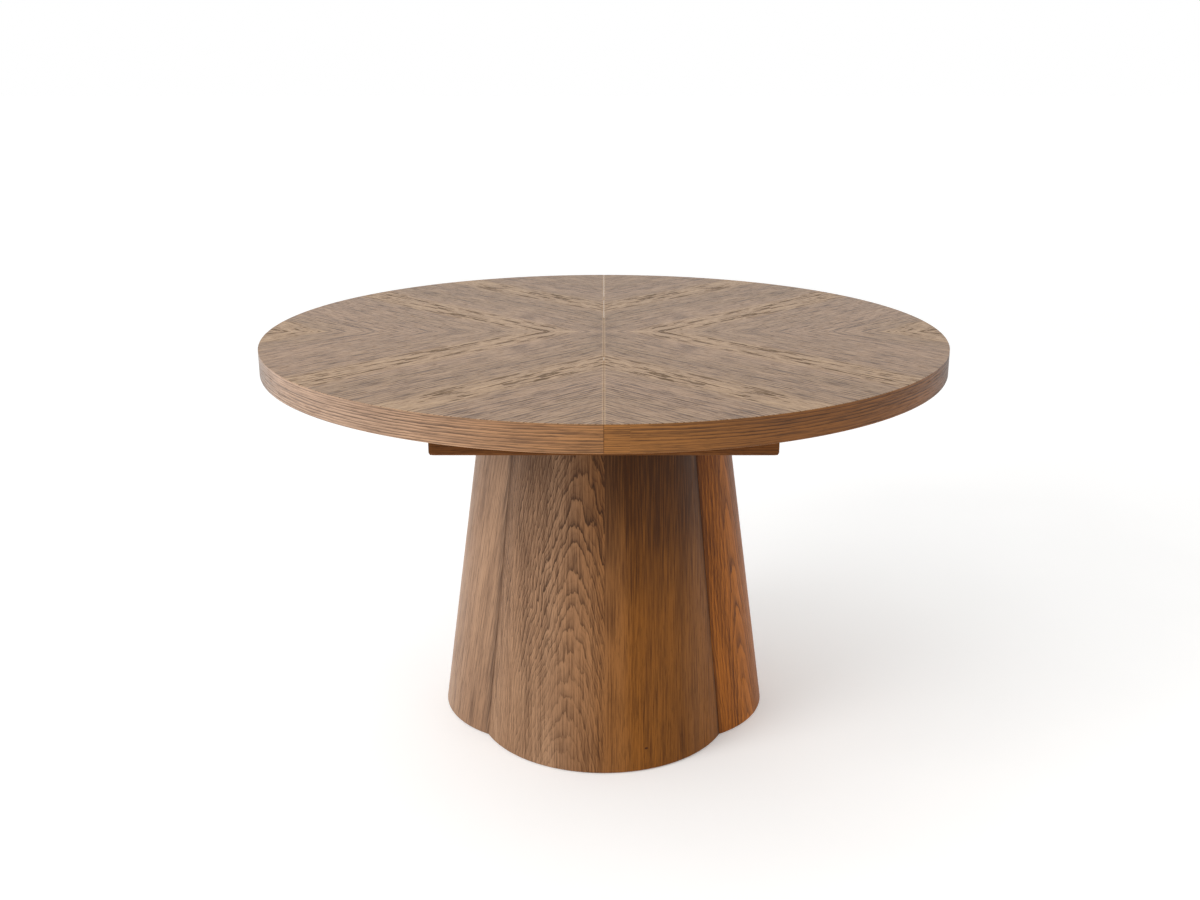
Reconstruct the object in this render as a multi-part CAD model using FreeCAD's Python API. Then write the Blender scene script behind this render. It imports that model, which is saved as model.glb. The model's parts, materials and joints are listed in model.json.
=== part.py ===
import FreeCAD, Part
import math
import os

# Round extension dining table on a four-lobed hollow pedestal.
# Frame: origin at floor level under the centre of the top, +Z up, the two halves
# of the top part along X, and the front lobe of the pedestal faces -Y. Units: mm.

os.makedirs("parts", exist_ok=True)

Vec = FreeCAD.Vector
UP = Vec(0, 0, 1)

# Top
HEIGHT = 762.0
TOP_R = 640.0
SEAM = 0.2
VENEER = 0.8
PANEL = 22.0
RIM_H = 46.0
RIM_W = 24.0
RIM_EASE = 1.5
PANEL_BOTTOM = HEIGHT - PANEL
CORE_R = TOP_R - RIM_W

# Pedestal, a four-lobed outline that shrinks in proportion as it rises
LOBE_REACH = 322.0
FRONT_LOBE_R = 247.0
SIDE_LOBE_R = 210.0
TAPER_APEX = 2327.0
SHELL_T = 15.0
FORMER_T = 24.0
GLIDE_T = 2.0
GLIDE_R = 15.0
NAIL_R = 1.5
NAIL_L = 16.0
NAIL_HEAD_R = 3.0
NAIL_HEAD_Z = 0.8
NAIL_NECK_Z = 1.4
GLIDE_XY = [(sx * 95, sy * 250) for sx in (-1, 1) for sy in (-1, 1)]
GLIDE_XY += [(sx * 255, sy * 75) for sx in (-1, 1) for sy in (-1, 1)]
PED_TOP = 607.0
POST_LEG = 46.0
POST_DEPTH = 0.78
WELL_R = 55.0

# Mounting plate and bearers
PLATE = 604.0
PLATE_T = 28.0
PLATE_BEVEL = 7.0
PLATE_TOP = PED_TOP + PLATE_T
PLATE_BOLT_XY = [(130, 0), (-130, 0), (0, 130), (0, -130)]
BOLT_R = 4.0
BOLT_HEAD_R = 8.0
BOLT_HEAD_H = 5.5
BOLT_L = 44.0
INSERT_R = 6.0
INSERT_L = 18.0
BEARER_X = 200.0
BEARER_W = 60.0
BEARER_H = 40.0
BEARER_L = 570.0
BEARER_TOP = PLATE_TOP + BEARER_H
BEARER_SCREW_Y = (205.0, 262.0)
SCREW_R = 2.5
SCREW_HEAD_R = 4.5
SCREW_HEAD_H = 3.0
SCREW_TIP_R = 0.4
CROSS_REACH = 2.2
CROSS_HALF_W = 0.6
CROSS_DEEP = 1.2
PILOT_L = 25.0

# Equaliser slide units: a fixed rail, a moving rail either side, a pinion between
UNIT_Y = 210.0
FIXED_HALF_W = 15.0
FIXED_L = 604.0
FIXED_TOP = PANEL_BOTTOM - 2.0
TONGUE_OUT = 6.0
TONGUE_Z = 686.0
TONGUE_H = 8.0
RUN = 0.3
RAIL_W = 22.0
RAIL_BOTTOM = BEARER_TOP + 0.5
RAIL_OUTER_X = 420.0
RAIL_INNER_X = 290.0
RAIL_CLIP = 75.0
RELIEF = 1.0
RAIL_SCREW_X = (50.0, 130.0, 230.0, 330.0)
RAIL_SCREW_Y = 30.5
RAIL_SCREW_Z = 700.0
RAIL_END_H = 6.0
RAIL_SEAM_GAP = 2.0
FIXED_SCREW_DX = 16.0
FIXED_SCREW_Z = 697.0
CORE_PILOT_L = 15.0
TRAVEL = 255.0

# Racks and pinions
MODULE = 2.0
TEETH = 20
PITCH_R = MODULE * TEETH / 2
PRESSURE = math.radians(20)
DEDENDUM = 1.25 * MODULE
BACKLASH = 0.25
FLANK_STEPS = 5
GEAR_Z = 716.0
GEAR_H = 8.0
PINION_GAP = 0.5
RACK_BACK = 27.0
RACK_START = -20.0
RACK_END = TRAVEL + 25.0
RACK_RECESS_GAP = (6.0, 4.0)
WINDOW_GAP = 2.0
WINDOW_RUN = 1.5
PIN_R = 4.0
PIN_RUN = 0.05
PIN_FOOT_Z = GEAR_Z - 14.0

# Seam fittings
DOWEL_R = 4.0
DOWEL_Z = PANEL_BOTTOM + 10.5
DOWEL_Y = (-400.0, -150.0, 150.0, 400.0)
DOWEL_FIXED_L = 30.0
DOWEL_OUT_L = 11.0
DOWEL_NOSE_L = 4.0
DOWEL_SOCKET_L = 17.0
DOWEL_RUN = 0.3
LOCK_Y = 480.0
LOCK_TRAVEL = 25.0
CASE_X = (-64.0, -4.0)
KEEPER_X = (4.0, 38.0)
FLANGE_HALF_W = 22.0
FLANGE_T = 3.0
HOUSING_HALF_W = 9.0
HOUSING_H = 13.0
LOCK_BAR_X = (-60.0, -10.0)
LOCK_BAR_HALF_W = 5.0
LOCK_BAR_Z = (PANEL_BOTTOM - 9.7, PANEL_BOTTOM - 4.0)
LOCK_BAR_RUN = 0.3
KNOB_X = -45.0
KNOB_R = 3.5
KNOB_BOTTOM = PANEL_BOTTOM - 24.0
KNOB_CAP_R = 6.0
KNOB_CAP_H = 5.0
SMALL_SCREW_R = 1.5
SMALL_HEAD_R = 3.2
SMALL_HEAD_H = 2.0
SMALL_SCREW_L = 12.0


def box(x0, x1, y0, y1, z0, z1):
    """Return a box between two opposite corners given axis by axis."""
    return Part.makeBox(x1 - x0, y1 - y0, z1 - z0, Vec(x0, y0, z0))


def rod(x, y, z0, z1, r):
    """Return an upright cylinder from z0 to z1."""
    return Part.makeCylinder(r, z1 - z0, Vec(x, y, z0), UP)


def save(node, shape):
    """Write one sub-part as a STEP file."""
    shape.exportStep("parts/" + node + ".step")


def together(shapes):
    """Return separate solids as one compound."""
    return Part.makeCompound(shapes)


def mirror_x(shape):
    """Mirror a shape to the other side of the seam plane."""
    return shape.mirror(Vec(0, 0, 0), Vec(1, 0, 0))


def mirror_y(shape):
    """Mirror a shape from front to back."""
    return shape.mirror(Vec(0, 0, 0), Vec(0, 1, 0))


# ---------------------------------------------------------------- pedestal


def taper(z):
    """Return the outline's scale at height z."""
    return 1 - z / TAPER_APEX


def lobes(z, inset):
    """Return centre offset and radius of the front and side arcs at height z."""
    s = taper(z)
    front = (s * (LOBE_REACH - FRONT_LOBE_R), s * FRONT_LOBE_R - inset)
    side = (s * (LOBE_REACH - SIDE_LOBE_R), s * SIDE_LOBE_R - inset)
    return front, side


def crease(z, inset):
    """Return the point in the +X -Y quadrant where a front and a side arc meet."""
    (cf, rf), (cs, rs) = lobes(z, inset)
    span = math.hypot(cf, cs)
    along = (rs * rs - rf * rf + span * span) / (2 * span)
    off = math.sqrt(rs * rs - along * along)
    ux, uy = -cs / span, -cf / span
    return Vec(cs + along * ux - off * uy, along * uy + off * ux, z)


def front_arc(z, inset, x0, x1):
    """Return the front arc at height z between two values of X."""
    (cf, rf), _ = lobes(z, inset)

    def at(x):
        return Vec(x, -cf - math.sqrt(rf * rf - x * x), z)

    return Part.Arc(at(x0), at((x0 + x1) / 2), at(x1)).toShape()


def side_arc(z, inset, y0, y1):
    """Return the right-hand arc at height z between two values of Y."""
    _, (cs, rs) = lobes(z, inset)

    def at(y):
        return Vec(cs + math.sqrt(rs * rs - y * y), y, z)

    return Part.Arc(at(y0), at((y0 + y1) / 2), at(y1)).toShape()


def loft(section, z0, z1):
    """Return the ruled solid between one section drawn at two heights."""
    return Part.makeLoft([section(z0), section(z1)], True, True)


def front_shell():
    """Curved shell of the front lobe, mitred into its neighbours at the creases."""

    def section(z):
        a = crease(z, 0)
        b = crease(z, SHELL_T)
        left, left_in = Vec(-a.x, a.y, z), Vec(-b.x, b.y, z)
        outer = front_arc(z, 0, -a.x, a.x)
        inner = front_arc(z, SHELL_T, b.x, -b.x)
        return Part.Wire([outer, Part.makeLine(a, b), inner, Part.makeLine(left_in, left)])

    return loft(section, GLIDE_T, PED_TOP)


def side_shell():
    """Curved shell of the right lobe, mitred into its neighbours at the creases."""

    def section(z):
        a = crease(z, 0)
        b = crease(z, SHELL_T)
        back, back_in = Vec(a.x, -a.y, z), Vec(b.x, -b.y, z)
        outer = side_arc(z, 0, a.y, -a.y)
        inner = side_arc(z, SHELL_T, -b.y, b.y)
        return Part.Wire([outer, Part.makeLine(back, back_in), inner, Part.makeLine(b, a)])

    return loft(section, GLIDE_T, PED_TOP)


def post_corner(z):
    """Return the crease, the two feet on the shells and the inner arris of a post."""
    b = crease(z, SHELL_T)
    leg = POST_LEG * taper(z)
    on_front = front_arc(z, SHELL_T, b.x - leg, b.x).Vertexes[0].Point
    on_side = side_arc(z, SHELL_T, b.y, b.y + leg).Vertexes[-1].Point
    arris = Vec(b.x * POST_DEPTH, b.y * POST_DEPTH, z)
    return b, on_front, on_side, arris


def corner_post():
    """Four-sided glue post behind the front right crease."""

    def section(z):
        b, on_front, on_side, arris = post_corner(z)
        return Part.makePolygon([b, on_side, arris, on_front, b])

    return loft(section, GLIDE_T, PED_TOP)


def former(z0):
    """Shaped plywood former that fills the pedestal between the shells and posts."""

    def section(z):
        _, on_front, on_side, arris = post_corner(z)
        front = front_arc(z, SHELL_T, -on_front.x, on_front.x)
        right = side_arc(z, SHELL_T, on_side.y, -on_side.y)
        corners = [
            arris,
            Vec(arris.x, -arris.y, z),
            Vec(-arris.x, -arris.y, z),
            Vec(-arris.x, arris.y, z),
        ]
        arcs = [front, right, mirror_y(front), mirror_x(right)]
        ends = [[v.Point for v in arc.Vertexes] for arc in arcs]
        ends[2].reverse()
        ends[3].reverse()
        edges = []
        for i, corner in enumerate(corners):
            edges += [arcs[i], Part.makeLine(ends[i][1], corner)]
            edges.append(Part.makeLine(corner, ends[(i + 1) % 4][0]))
        return Part.Wire(edges)

    return loft(section, z0, z0 + FORMER_T).cut(rod(0, 0, z0 - 1, z0 + FORMER_T + 1, WELL_R))


def insert_nuts():
    """Threaded inserts sunk in the top former."""
    z0 = PED_TOP - INSERT_L
    return together([
        rod(x, y, z0, PED_TOP, INSERT_R).cut(rod(x, y, z0, PED_TOP, BOLT_R))
        for x, y in PLATE_BOLT_XY
    ])


def glides():
    """Nylon pads the pedestal stands on."""
    pads = []
    for x, y in GLIDE_XY:
        pad = rod(x, y, 0, GLIDE_T, GLIDE_R)
        pad = pad.cut(rod(x, y, NAIL_HEAD_Z, GLIDE_T, NAIL_R))
        pads.append(pad.cut(rod(x, y, NAIL_HEAD_Z, NAIL_NECK_Z, NAIL_HEAD_R)))
    return together(pads)


def glide_nails():
    """Steel nail through each pad, its head sunk in the nylon."""
    nails = []
    for x, y in GLIDE_XY:
        head = rod(x, y, NAIL_HEAD_Z, NAIL_NECK_Z, NAIL_HEAD_R)
        nails.append(head.fuse(rod(x, y, NAIL_NECK_Z, NAIL_L, NAIL_R)))
    return together(nails)


def build_pedestal():
    """Write the shells, posts, formers, inserts and glides."""
    front = front_shell()
    side = side_shell()
    save("shell_front", front)
    save("shell_back", mirror_y(front))
    save("shell_right", side)
    save("shell_left", mirror_x(side))
    post = corner_post()
    posts = [post, mirror_x(post), mirror_y(post), mirror_y(mirror_x(post))]
    for name, shape in zip(("front_right", "front_left", "back_right", "back_left"), posts):
        save("corner_post_" + name, shape)
    top = former(PED_TOP - FORMER_T)
    for x, y in PLATE_BOLT_XY:
        top = top.cut(rod(x, y, PED_TOP - INSERT_L, PED_TOP, INSERT_R))
        top = top.cut(rod(x, y, PED_TOP - FORMER_T, PED_TOP, BOLT_R))
    save("former_top", top)
    save("former_middle", former(PED_TOP / 2))
    bottom = former(GLIDE_T)
    for x, y in GLIDE_XY:
        bottom = bottom.cut(rod(x, y, GLIDE_T, NAIL_L, NAIL_R))
    save("former_bottom", bottom)
    save("insert_nuts", insert_nuts())
    save("glides", glides())
    save("glide_nails", glide_nails())


# ---------------------------------------------------- mounting plate, bearers


def wood_screw(x, y, z_head, z_tip):
    """Flat-headed wood screw along Z, head at z_head and tip at z_tip."""
    down = -1 if z_tip < z_head else 1
    head = Part.makeCylinder(SCREW_HEAD_R, SCREW_HEAD_H, Vec(x, y, z_head), Vec(0, 0, down))
    neck = z_head + down * SCREW_HEAD_H
    shank_l = abs(z_tip - neck) - 2 * SCREW_R
    shank = Part.makeCylinder(SCREW_R, shank_l, Vec(x, y, neck), Vec(0, 0, down))
    tip_at = Vec(x, y, neck + down * shank_l)
    tip = Part.makeCone(SCREW_R, SCREW_TIP_R, 2 * SCREW_R, tip_at, Vec(0, 0, down))
    screw = head.fuse(shank).fuse(tip)
    for rx, ry in ((CROSS_REACH, CROSS_HALF_W), (CROSS_HALF_W, CROSS_REACH)):
        slot = box(x - rx, x + rx, y - ry, y + ry, z_head - CROSS_DEEP, z_head + CROSS_DEEP)
        screw = screw.cut(slot)
    return screw


def bearer_screw_points():
    """Return the points where screws rise through the plate into the bearers."""
    ys = [sy * y for sy in (-1, 1) for y in BEARER_SCREW_Y]
    return [(sx * BEARER_X, y) for sx in (-1, 1) for y in ys]


def fixed_screw_points():
    """Return the points where screws drop through the fixed rails into the bearers."""
    xs = [sx * (BEARER_X + dx) for sx in (-1, 1) for dx in (-FIXED_SCREW_DX, FIXED_SCREW_DX)]
    return [(x, sy * UNIT_Y) for sy in (-1, 1) for x in xs]


def mounting_plate():
    """Square plate on the pedestal, its lower edges bevelled."""
    h = PLATE / 2
    plate = box(-h, h, -h, h, PED_TOP, PLATE_TOP)
    low = [e for e in plate.Edges if abs(e.BoundBox.ZMax - PED_TOP) < 0.01]
    plate = plate.makeChamfer(PLATE_BEVEL, low)
    for x, y in PLATE_BOLT_XY:
        plate = plate.cut(rod(x, y, PED_TOP, PLATE_TOP, BOLT_R))
    for x, y in bearer_screw_points():
        plate = plate.cut(rod(x, y, PED_TOP, PED_TOP + SCREW_HEAD_H, SCREW_HEAD_R))
        plate = plate.cut(rod(x, y, PED_TOP, PLATE_TOP, SCREW_R))
    return plate


def plate_bolts():
    """Hexagon bolts that hold the plate down on the pedestal."""
    turns = [math.radians(a) for a in range(0, 361, 60)]
    corners = [Vec(BOLT_HEAD_R * math.cos(a), BOLT_HEAD_R * math.sin(a), PLATE_TOP) for a in turns]
    head = Part.Face(Part.makePolygon(corners)).extrude(Vec(0, 0, BOLT_HEAD_H))
    bolt = head.fuse(rod(0, 0, PLATE_TOP - BOLT_L, PLATE_TOP, BOLT_R))
    bolts = []
    for x, y in PLATE_BOLT_XY:
        placed = bolt.copy()
        placed.translate(Vec(x, y, 0))
        bolts.append(placed)
    return together(bolts)


def bearer(side):
    """Cross bearer between the plate and the fixed rails, running front to back."""
    x = side * BEARER_X
    half_w, half_l = BEARER_W / 2, BEARER_L / 2
    bar = box(x - half_w, x + half_w, -half_l, half_l, PLATE_TOP, BEARER_TOP)
    for px, py in bearer_screw_points():
        bar = bar.cut(rod(px, py, PLATE_TOP, PLATE_TOP + PILOT_L, SCREW_R))
    for px, py in fixed_screw_points():
        bar = bar.cut(rod(px, py, BEARER_TOP - PILOT_L, BEARER_TOP, SCREW_R))
    return bar


def build_platform():
    """Write the plate, its bolts, the bearers and their screws."""
    save("mounting_plate", mounting_plate())
    save("plate_bolts", plate_bolts())
    save("bearer_left", bearer(-1))
    save("bearer_right", bearer(1))
    save("bearer_screws", together([
        wood_screw(x, y, PED_TOP, PLATE_TOP + PILOT_L) for x, y in bearer_screw_points()
    ]))


# ------------------------------------------------------------- slide units


def fixed_rail():
    """Fixed rail of the front unit: tongues, pinion window, pin hole and screw wells."""
    y = -UNIT_Y
    half_l = FIXED_L / 2
    tongue_w = FIXED_HALF_W + TONGUE_OUT
    rail = box(-half_l, half_l, y - FIXED_HALF_W, y + FIXED_HALF_W, BEARER_TOP, FIXED_TOP)
    tongues = box(-half_l, half_l, y - tongue_w, y + tongue_w, TONGUE_Z, TONGUE_Z + TONGUE_H)
    rail = rail.fuse(tongues).removeSplitter()
    window = PITCH_R + MODULE + WINDOW_GAP
    window_z = (GEAR_Z - WINDOW_RUN, GEAR_Z + GEAR_H + WINDOW_RUN)
    rail = rail.cut(box(-window, window, y - tongue_w, y + tongue_w, *window_z))
    rail = rail.cut(rod(0, y, PIN_FOOT_Z, FIXED_TOP, PIN_R))
    for px, _ in fixed_screw_points()[:4]:
        rail = rail.cut(rod(px, y, BEARER_TOP, FIXED_TOP, SCREW_R))
        rail = rail.cut(rod(px, y, FIXED_SCREW_Z, FIXED_TOP, SCREW_HEAD_R))
    return rail


def pinion_pins():
    """Steel pins the pinions turn on, pressed in the fixed rails."""
    return together([rod(0, sy * UNIT_Y, PIN_FOOT_Z, FIXED_TOP - 1, PIN_R) for sy in (-1, 1)])


def moving_rail():
    """Left-going rail in front unit axes: the unit's centre line is Y = 0, the rail on -Y."""
    near = -(FIXED_HALF_W + RUN)
    far = near - RAIL_W
    profile = [
        Vec(-RAIL_OUTER_X, far, PANEL_BOTTOM),
        Vec(-RAIL_OUTER_X, far, PANEL_BOTTOM - RAIL_END_H),
        Vec(-RAIL_OUTER_X + RAIL_CLIP, far, RAIL_BOTTOM),
        Vec(RAIL_INNER_X, far, RAIL_BOTTOM),
        Vec(RAIL_INNER_X, far, PANEL_BOTTOM - RELIEF),
        Vec(-RAIL_SEAM_GAP, far, PANEL_BOTTOM - RELIEF),
        Vec(-RAIL_SEAM_GAP, far, PANEL_BOTTOM),
        Vec(-RAIL_OUTER_X, far, PANEL_BOTTOM),
    ]
    rail = Part.Face(Part.makePolygon(profile)).extrude(Vec(0, RAIL_W, 0))
    past = RAIL_OUTER_X + 1
    groove_y = -(FIXED_HALF_W + TONGUE_OUT + RUN)
    groove_z = (TONGUE_Z - RUN, TONGUE_Z + TONGUE_H + RUN)
    rail = rail.cut(box(-past, past, groove_y, near + 1, *groove_z))
    seat_x = (RACK_START - RACK_RECESS_GAP[0], RACK_END + RACK_RECESS_GAP[1])
    rail = rail.cut(box(*seat_x, -RACK_BACK, near + 1, GEAR_Z, GEAR_Z + GEAR_H))
    well_top = RAIL_SCREW_Z + SCREW_HEAD_H
    for x in RAIL_SCREW_X:
        rail = rail.cut(rod(-x, -RAIL_SCREW_Y, RAIL_BOTTOM, PANEL_BOTTOM, SCREW_R))
        rail = rail.cut(rod(-x, -RAIL_SCREW_Y, RAIL_BOTTOM, well_top, SCREW_HEAD_R))
    return rail


def rack():
    """Toothed rack for the left-going rail, in the same axes as moving_rail."""
    pitch = math.pi * MODULE
    tip_y = -(PITCH_R - MODULE)
    root_y = -(PITCH_R + DEDENDUM)
    tip_w = pitch / 4 - MODULE * math.tan(PRESSURE)
    root_w = pitch / 4 + DEDENDUM * math.tan(PRESSURE)
    first = math.ceil((RACK_START + root_w) / pitch)
    last = math.floor((RACK_END - root_w) / pitch)
    outline = [(RACK_START, -RACK_BACK), (RACK_START, root_y)]
    for k in range(first, last + 1):
        x = k * pitch
        outline += [(x - root_w, root_y), (x - tip_w, tip_y)]
        outline += [(x + tip_w, tip_y), (x + root_w, root_y)]
    outline += [(RACK_END, root_y), (RACK_END, -RACK_BACK), outline[0]]
    wire = Part.makePolygon([Vec(x, y, GEAR_Z) for x, y in outline])
    return Part.Face(wire).extrude(Vec(0, 0, GEAR_H))


def tooth_flank():
    """Return (radius, half angle) pairs up an involute flank, thinned for backlash."""
    base = PITCH_R * math.cos(PRESSURE)
    tip = PITCH_R + MODULE
    inv_pitch = math.tan(PRESSURE) - PRESSURE
    half = (math.pi * MODULE / 2 - BACKLASH) / (2 * PITCH_R)
    flank = [(PITCH_R - DEDENDUM, half + inv_pitch)]
    for i in range(FLANK_STEPS + 1):
        r = base + (tip - base) * i / FLANK_STEPS
        a = math.acos(min(1.0, base / r))
        flank.append((r, half + inv_pitch - (math.tan(a) - a)))
    return flank


def pinion():
    """Spur pinion centred on the origin, a tooth gap facing each rack."""
    flank = tooth_flank()
    points = []
    for k in range(TEETH):
        mid = 2 * math.pi * (k + 0.5) / TEETH
        points += [(r, mid - a) for r, a in flank]
        points += [(r, mid + a) for r, a in reversed(flank)]
    z = GEAR_Z + PINION_GAP
    corners = [Vec(r * math.cos(a), r * math.sin(a), z) for r, a in points]
    blank = Part.Face(Part.makePolygon(corners + [corners[0]]))
    gear = blank.extrude(Vec(0, 0, GEAR_H - 2 * PINION_GAP))
    return gear.cut(rod(0, 0, z - 1, z + GEAR_H, PIN_R + PIN_RUN))


def rail_screw_points(side):
    """Return where the rails of one half are screwed up into its core."""
    offset = RAIL_SCREW_Y if side < 0 else -RAIL_SCREW_Y
    return [(side * x, sy * (UNIT_Y + offset)) for sy in (-1, 1) for x in RAIL_SCREW_X]


def in_units(shape, side):
    """Return front and back copies of a piece for one half, in table axes."""
    own = shape if side < 0 else mirror_y(mirror_x(shape))
    front = own.copy()
    front.translate(Vec(0, -UNIT_Y, 0))
    return front, mirror_y(front)


def build_slides():
    """Write the fixed rails, moving rails, racks, pinions, pins and screws."""
    rail = fixed_rail()
    save("fixed_rail_front", rail)
    save("fixed_rail_back", mirror_y(rail))
    save("fixed_rail_screws", together([
        wood_screw(x, y, FIXED_SCREW_Z + SCREW_HEAD_H, BEARER_TOP - PILOT_L)
        for x, y in fixed_screw_points()
    ]))
    save("pinion_pins", pinion_pins())
    mover = moving_rail()
    teeth = rack()
    for side, name in ((-1, "left"), (1, "right")):
        for shape, kind in ((mover, "rail"), (teeth, "rack")):
            front, back = in_units(shape, side)
            save(kind + "_" + name + "_front", front)
            save(kind + "_" + name + "_back", back)
        save("rail_screws_" + name, together([
            wood_screw(x, y, RAIL_SCREW_Z, PANEL_BOTTOM + CORE_PILOT_L)
            for x, y in rail_screw_points(side)
        ]))
    gear = pinion()
    for sy, name in ((-1, "front"), (1, "back")):
        turned = gear.copy()
        turned.translate(Vec(0, sy * UNIT_Y, 0))
        save("pinion_" + name, turned)


# --------------------------------------------------------------- table top


def left_side(r, z0, z1):
    """Return a half disc left of the seam."""
    return rod(0, 0, z0, z1, r).common(box(-r - 1, -SEAM, -r - 1, r + 1, z0, z1))


def lock_screw_points(side):
    """Return the screw points of the lock cases (left) or keepers (right)."""
    xs = (-56.0, -12.0) if side < 0 else (12.0, 30.0)
    return [(x, sy * LOCK_Y + dy) for sy in (-1, 1) for x in xs for dy in (-16, 16)]


def drill_half(panel, side):
    """Drill a half's core or backing for its rail and lock screws."""
    rail_z = (PANEL_BOTTOM, PANEL_BOTTOM + CORE_PILOT_L)
    lock_z = (PANEL_BOTTOM, PANEL_BOTTOM + SMALL_SCREW_L + 1)
    holes = [rod(x, y, *rail_z, SCREW_R) for x, y in rail_screw_points(side)]
    holes += [rod(x, y, *lock_z, SMALL_SCREW_R) for x, y in lock_screw_points(side)]
    return panel.cut(together(holes))


def core(side):
    """Half-round core panel with dowel holes in its seam edge."""
    half = left_side(CORE_R, PANEL_BOTTOM + VENEER, HEIGHT - VENEER)
    half = half if side < 0 else mirror_x(half)
    fixed = side < 0
    radius = DOWEL_R if fixed else DOWEL_R + DOWEL_RUN
    depth = DOWEL_FIXED_L if fixed else DOWEL_SOCKET_L
    for y in DOWEL_Y:
        half = half.cut(Part.makeCylinder(radius, depth, Vec(0, y, DOWEL_Z), Vec(side, 0, 0)))
    return drill_half(half, side)


def rim():
    """Left half of the bent-laminated rim, its lower outer edge eased."""
    ring = rod(0, 0, HEIGHT - RIM_H, HEIGHT - VENEER, TOP_R)
    low = [e for e in ring.Edges if e.BoundBox.ZMax < HEIGHT - RIM_H + 0.01]
    ring = ring.makeChamfer(RIM_EASE, low).cut(rod(0, 0, 0, HEIGHT, CORE_R))
    return ring.common(box(-TOP_R, -SEAM, -TOP_R, TOP_R, HEIGHT - RIM_H, HEIGHT))


def veneer_quarter():
    """Front left quarter of the top veneer."""
    half = left_side(TOP_R, HEIGHT - VENEER, HEIGHT)
    return half.common(box(-TOP_R, 0, -TOP_R, 0, 0, HEIGHT))


def dowels():
    """Dowels that line the halves up, fixed in the left seam edge."""
    pins = []
    for y in DOWEL_Y:
        start = Vec(-DOWEL_FIXED_L, y, DOWEL_Z)
        pin = Part.makeCylinder(DOWEL_R, DOWEL_FIXED_L + DOWEL_OUT_L, start, Vec(1, 0, 0))
        end = Vec(DOWEL_OUT_L, y, DOWEL_Z)
        nose = Part.makeCone(DOWEL_R, DOWEL_R / 2, DOWEL_NOSE_L, end, Vec(1, 0, 0))
        pins.append(pin.fuse(nose))
    return together(pins)


def lock_housing(x0, x1, screws):
    """Flange and hollow housing of a seam lock between x0 and x1, its bolt channel open."""
    y = -LOCK_Y
    z_flange = PANEL_BOTTOM - FLANGE_T
    z_low = PANEL_BOTTOM - HOUSING_H
    body = box(x0, x1, y - FLANGE_HALF_W, y + FLANGE_HALF_W, z_flange, PANEL_BOTTOM)
    body = body.fuse(box(x0, x1, y - HOUSING_HALF_W, y + HOUSING_HALF_W, z_low, z_flange))
    reach = LOCK_BAR_HALF_W + LOCK_BAR_RUN
    z_channel = (LOCK_BAR_Z[0] - LOCK_BAR_RUN, LOCK_BAR_Z[1] + LOCK_BAR_RUN)
    body = body.cut(box(x0 - 1, x1 + 1, y - reach, y + reach, *z_channel))
    for px, py in screws:
        body = body.cut(rod(px, py, z_flange, PANEL_BOTTOM, SMALL_SCREW_R))
    return body


def lock_case():
    """Case of the front seam lock, with the slot its thumb knob runs in."""
    y = -LOCK_Y
    slot_half = KNOB_R + 0.5
    slot_x = (KNOB_X - KNOB_R - 1.5, KNOB_X + LOCK_TRAVEL + KNOB_R + 1.5)
    slot_z = (PANEL_BOTTOM - HOUSING_H - 1, LOCK_BAR_Z[0])
    case = lock_housing(*CASE_X, lock_screw_points(-1))
    return case.cut(box(*slot_x, y - slot_half, y + slot_half, *slot_z))


def lock_keeper():
    """Keeper on the right half that takes the front seam bolt."""
    return lock_housing(*KEEPER_X, lock_screw_points(1))


def lock_bolt():
    """Sliding bolt of the front seam lock with its thumb knob, drawn back."""
    y = -LOCK_Y
    bar = box(*LOCK_BAR_X, y - LOCK_BAR_HALF_W, y + LOCK_BAR_HALF_W, *LOCK_BAR_Z)
    knob = rod(KNOB_X, y, KNOB_BOTTOM, LOCK_BAR_Z[0], KNOB_R)
    cap = rod(KNOB_X, y, KNOB_BOTTOM, KNOB_BOTTOM + KNOB_CAP_H, KNOB_CAP_R)
    return bar.fuse(knob).fuse(cap)


def small_screw(x, y):
    """Pan-head screw under a lock flange."""
    seat = PANEL_BOTTOM - FLANGE_T
    head = rod(x, y, seat - SMALL_HEAD_H, seat, SMALL_HEAD_R)
    return head.fuse(rod(x, y, seat, PANEL_BOTTOM + SMALL_SCREW_L, SMALL_SCREW_R))


def build_top():
    """Write the two halves of the top and their seam fittings."""
    quarter = veneer_quarter()
    save("veneer_left_front", quarter)
    save("veneer_left_back", mirror_y(quarter))
    save("veneer_right_front", mirror_x(quarter))
    save("veneer_right_back", mirror_x(mirror_y(quarter)))
    half_rim = rim()
    save("rim_left", half_rim)
    save("rim_right", mirror_x(half_rim))
    sheet = left_side(CORE_R, PANEL_BOTTOM, PANEL_BOTTOM + VENEER)
    save("backing_left", drill_half(sheet, -1))
    save("backing_right", drill_half(mirror_x(sheet), 1))
    save("core_left", core(-1))
    save("core_right", core(1))
    save("seam_dowels", dowels())
    case, keeper, bolt = lock_case(), lock_keeper(), lock_bolt()
    save("lock_cases", together([case, mirror_y(case)]))
    save("lock_keepers", together([keeper, mirror_y(keeper)]))
    save("lock_bolt_front", bolt)
    save("lock_bolt_back", mirror_y(bolt))
    for side, name in ((-1, "left"), (1, "right")):
        screws = [small_screw(x, y) for x, y in lock_screw_points(side)]
        save("lock_screws_" + name, together(screws))


build_pedestal()
build_platform()
build_slides()
build_top()
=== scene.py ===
"""Looks of a round oak extension table on a hollow four-lobed pedestal.

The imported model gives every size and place. Solids that show are replaced by finished
pieces; the others keep their shape and are given their materials. All lengths are metres.
"""

import json
import logging
import math
from dataclasses import dataclass
from enum import Enum
from typing import Callable, Optional, Sequence, Union

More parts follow.
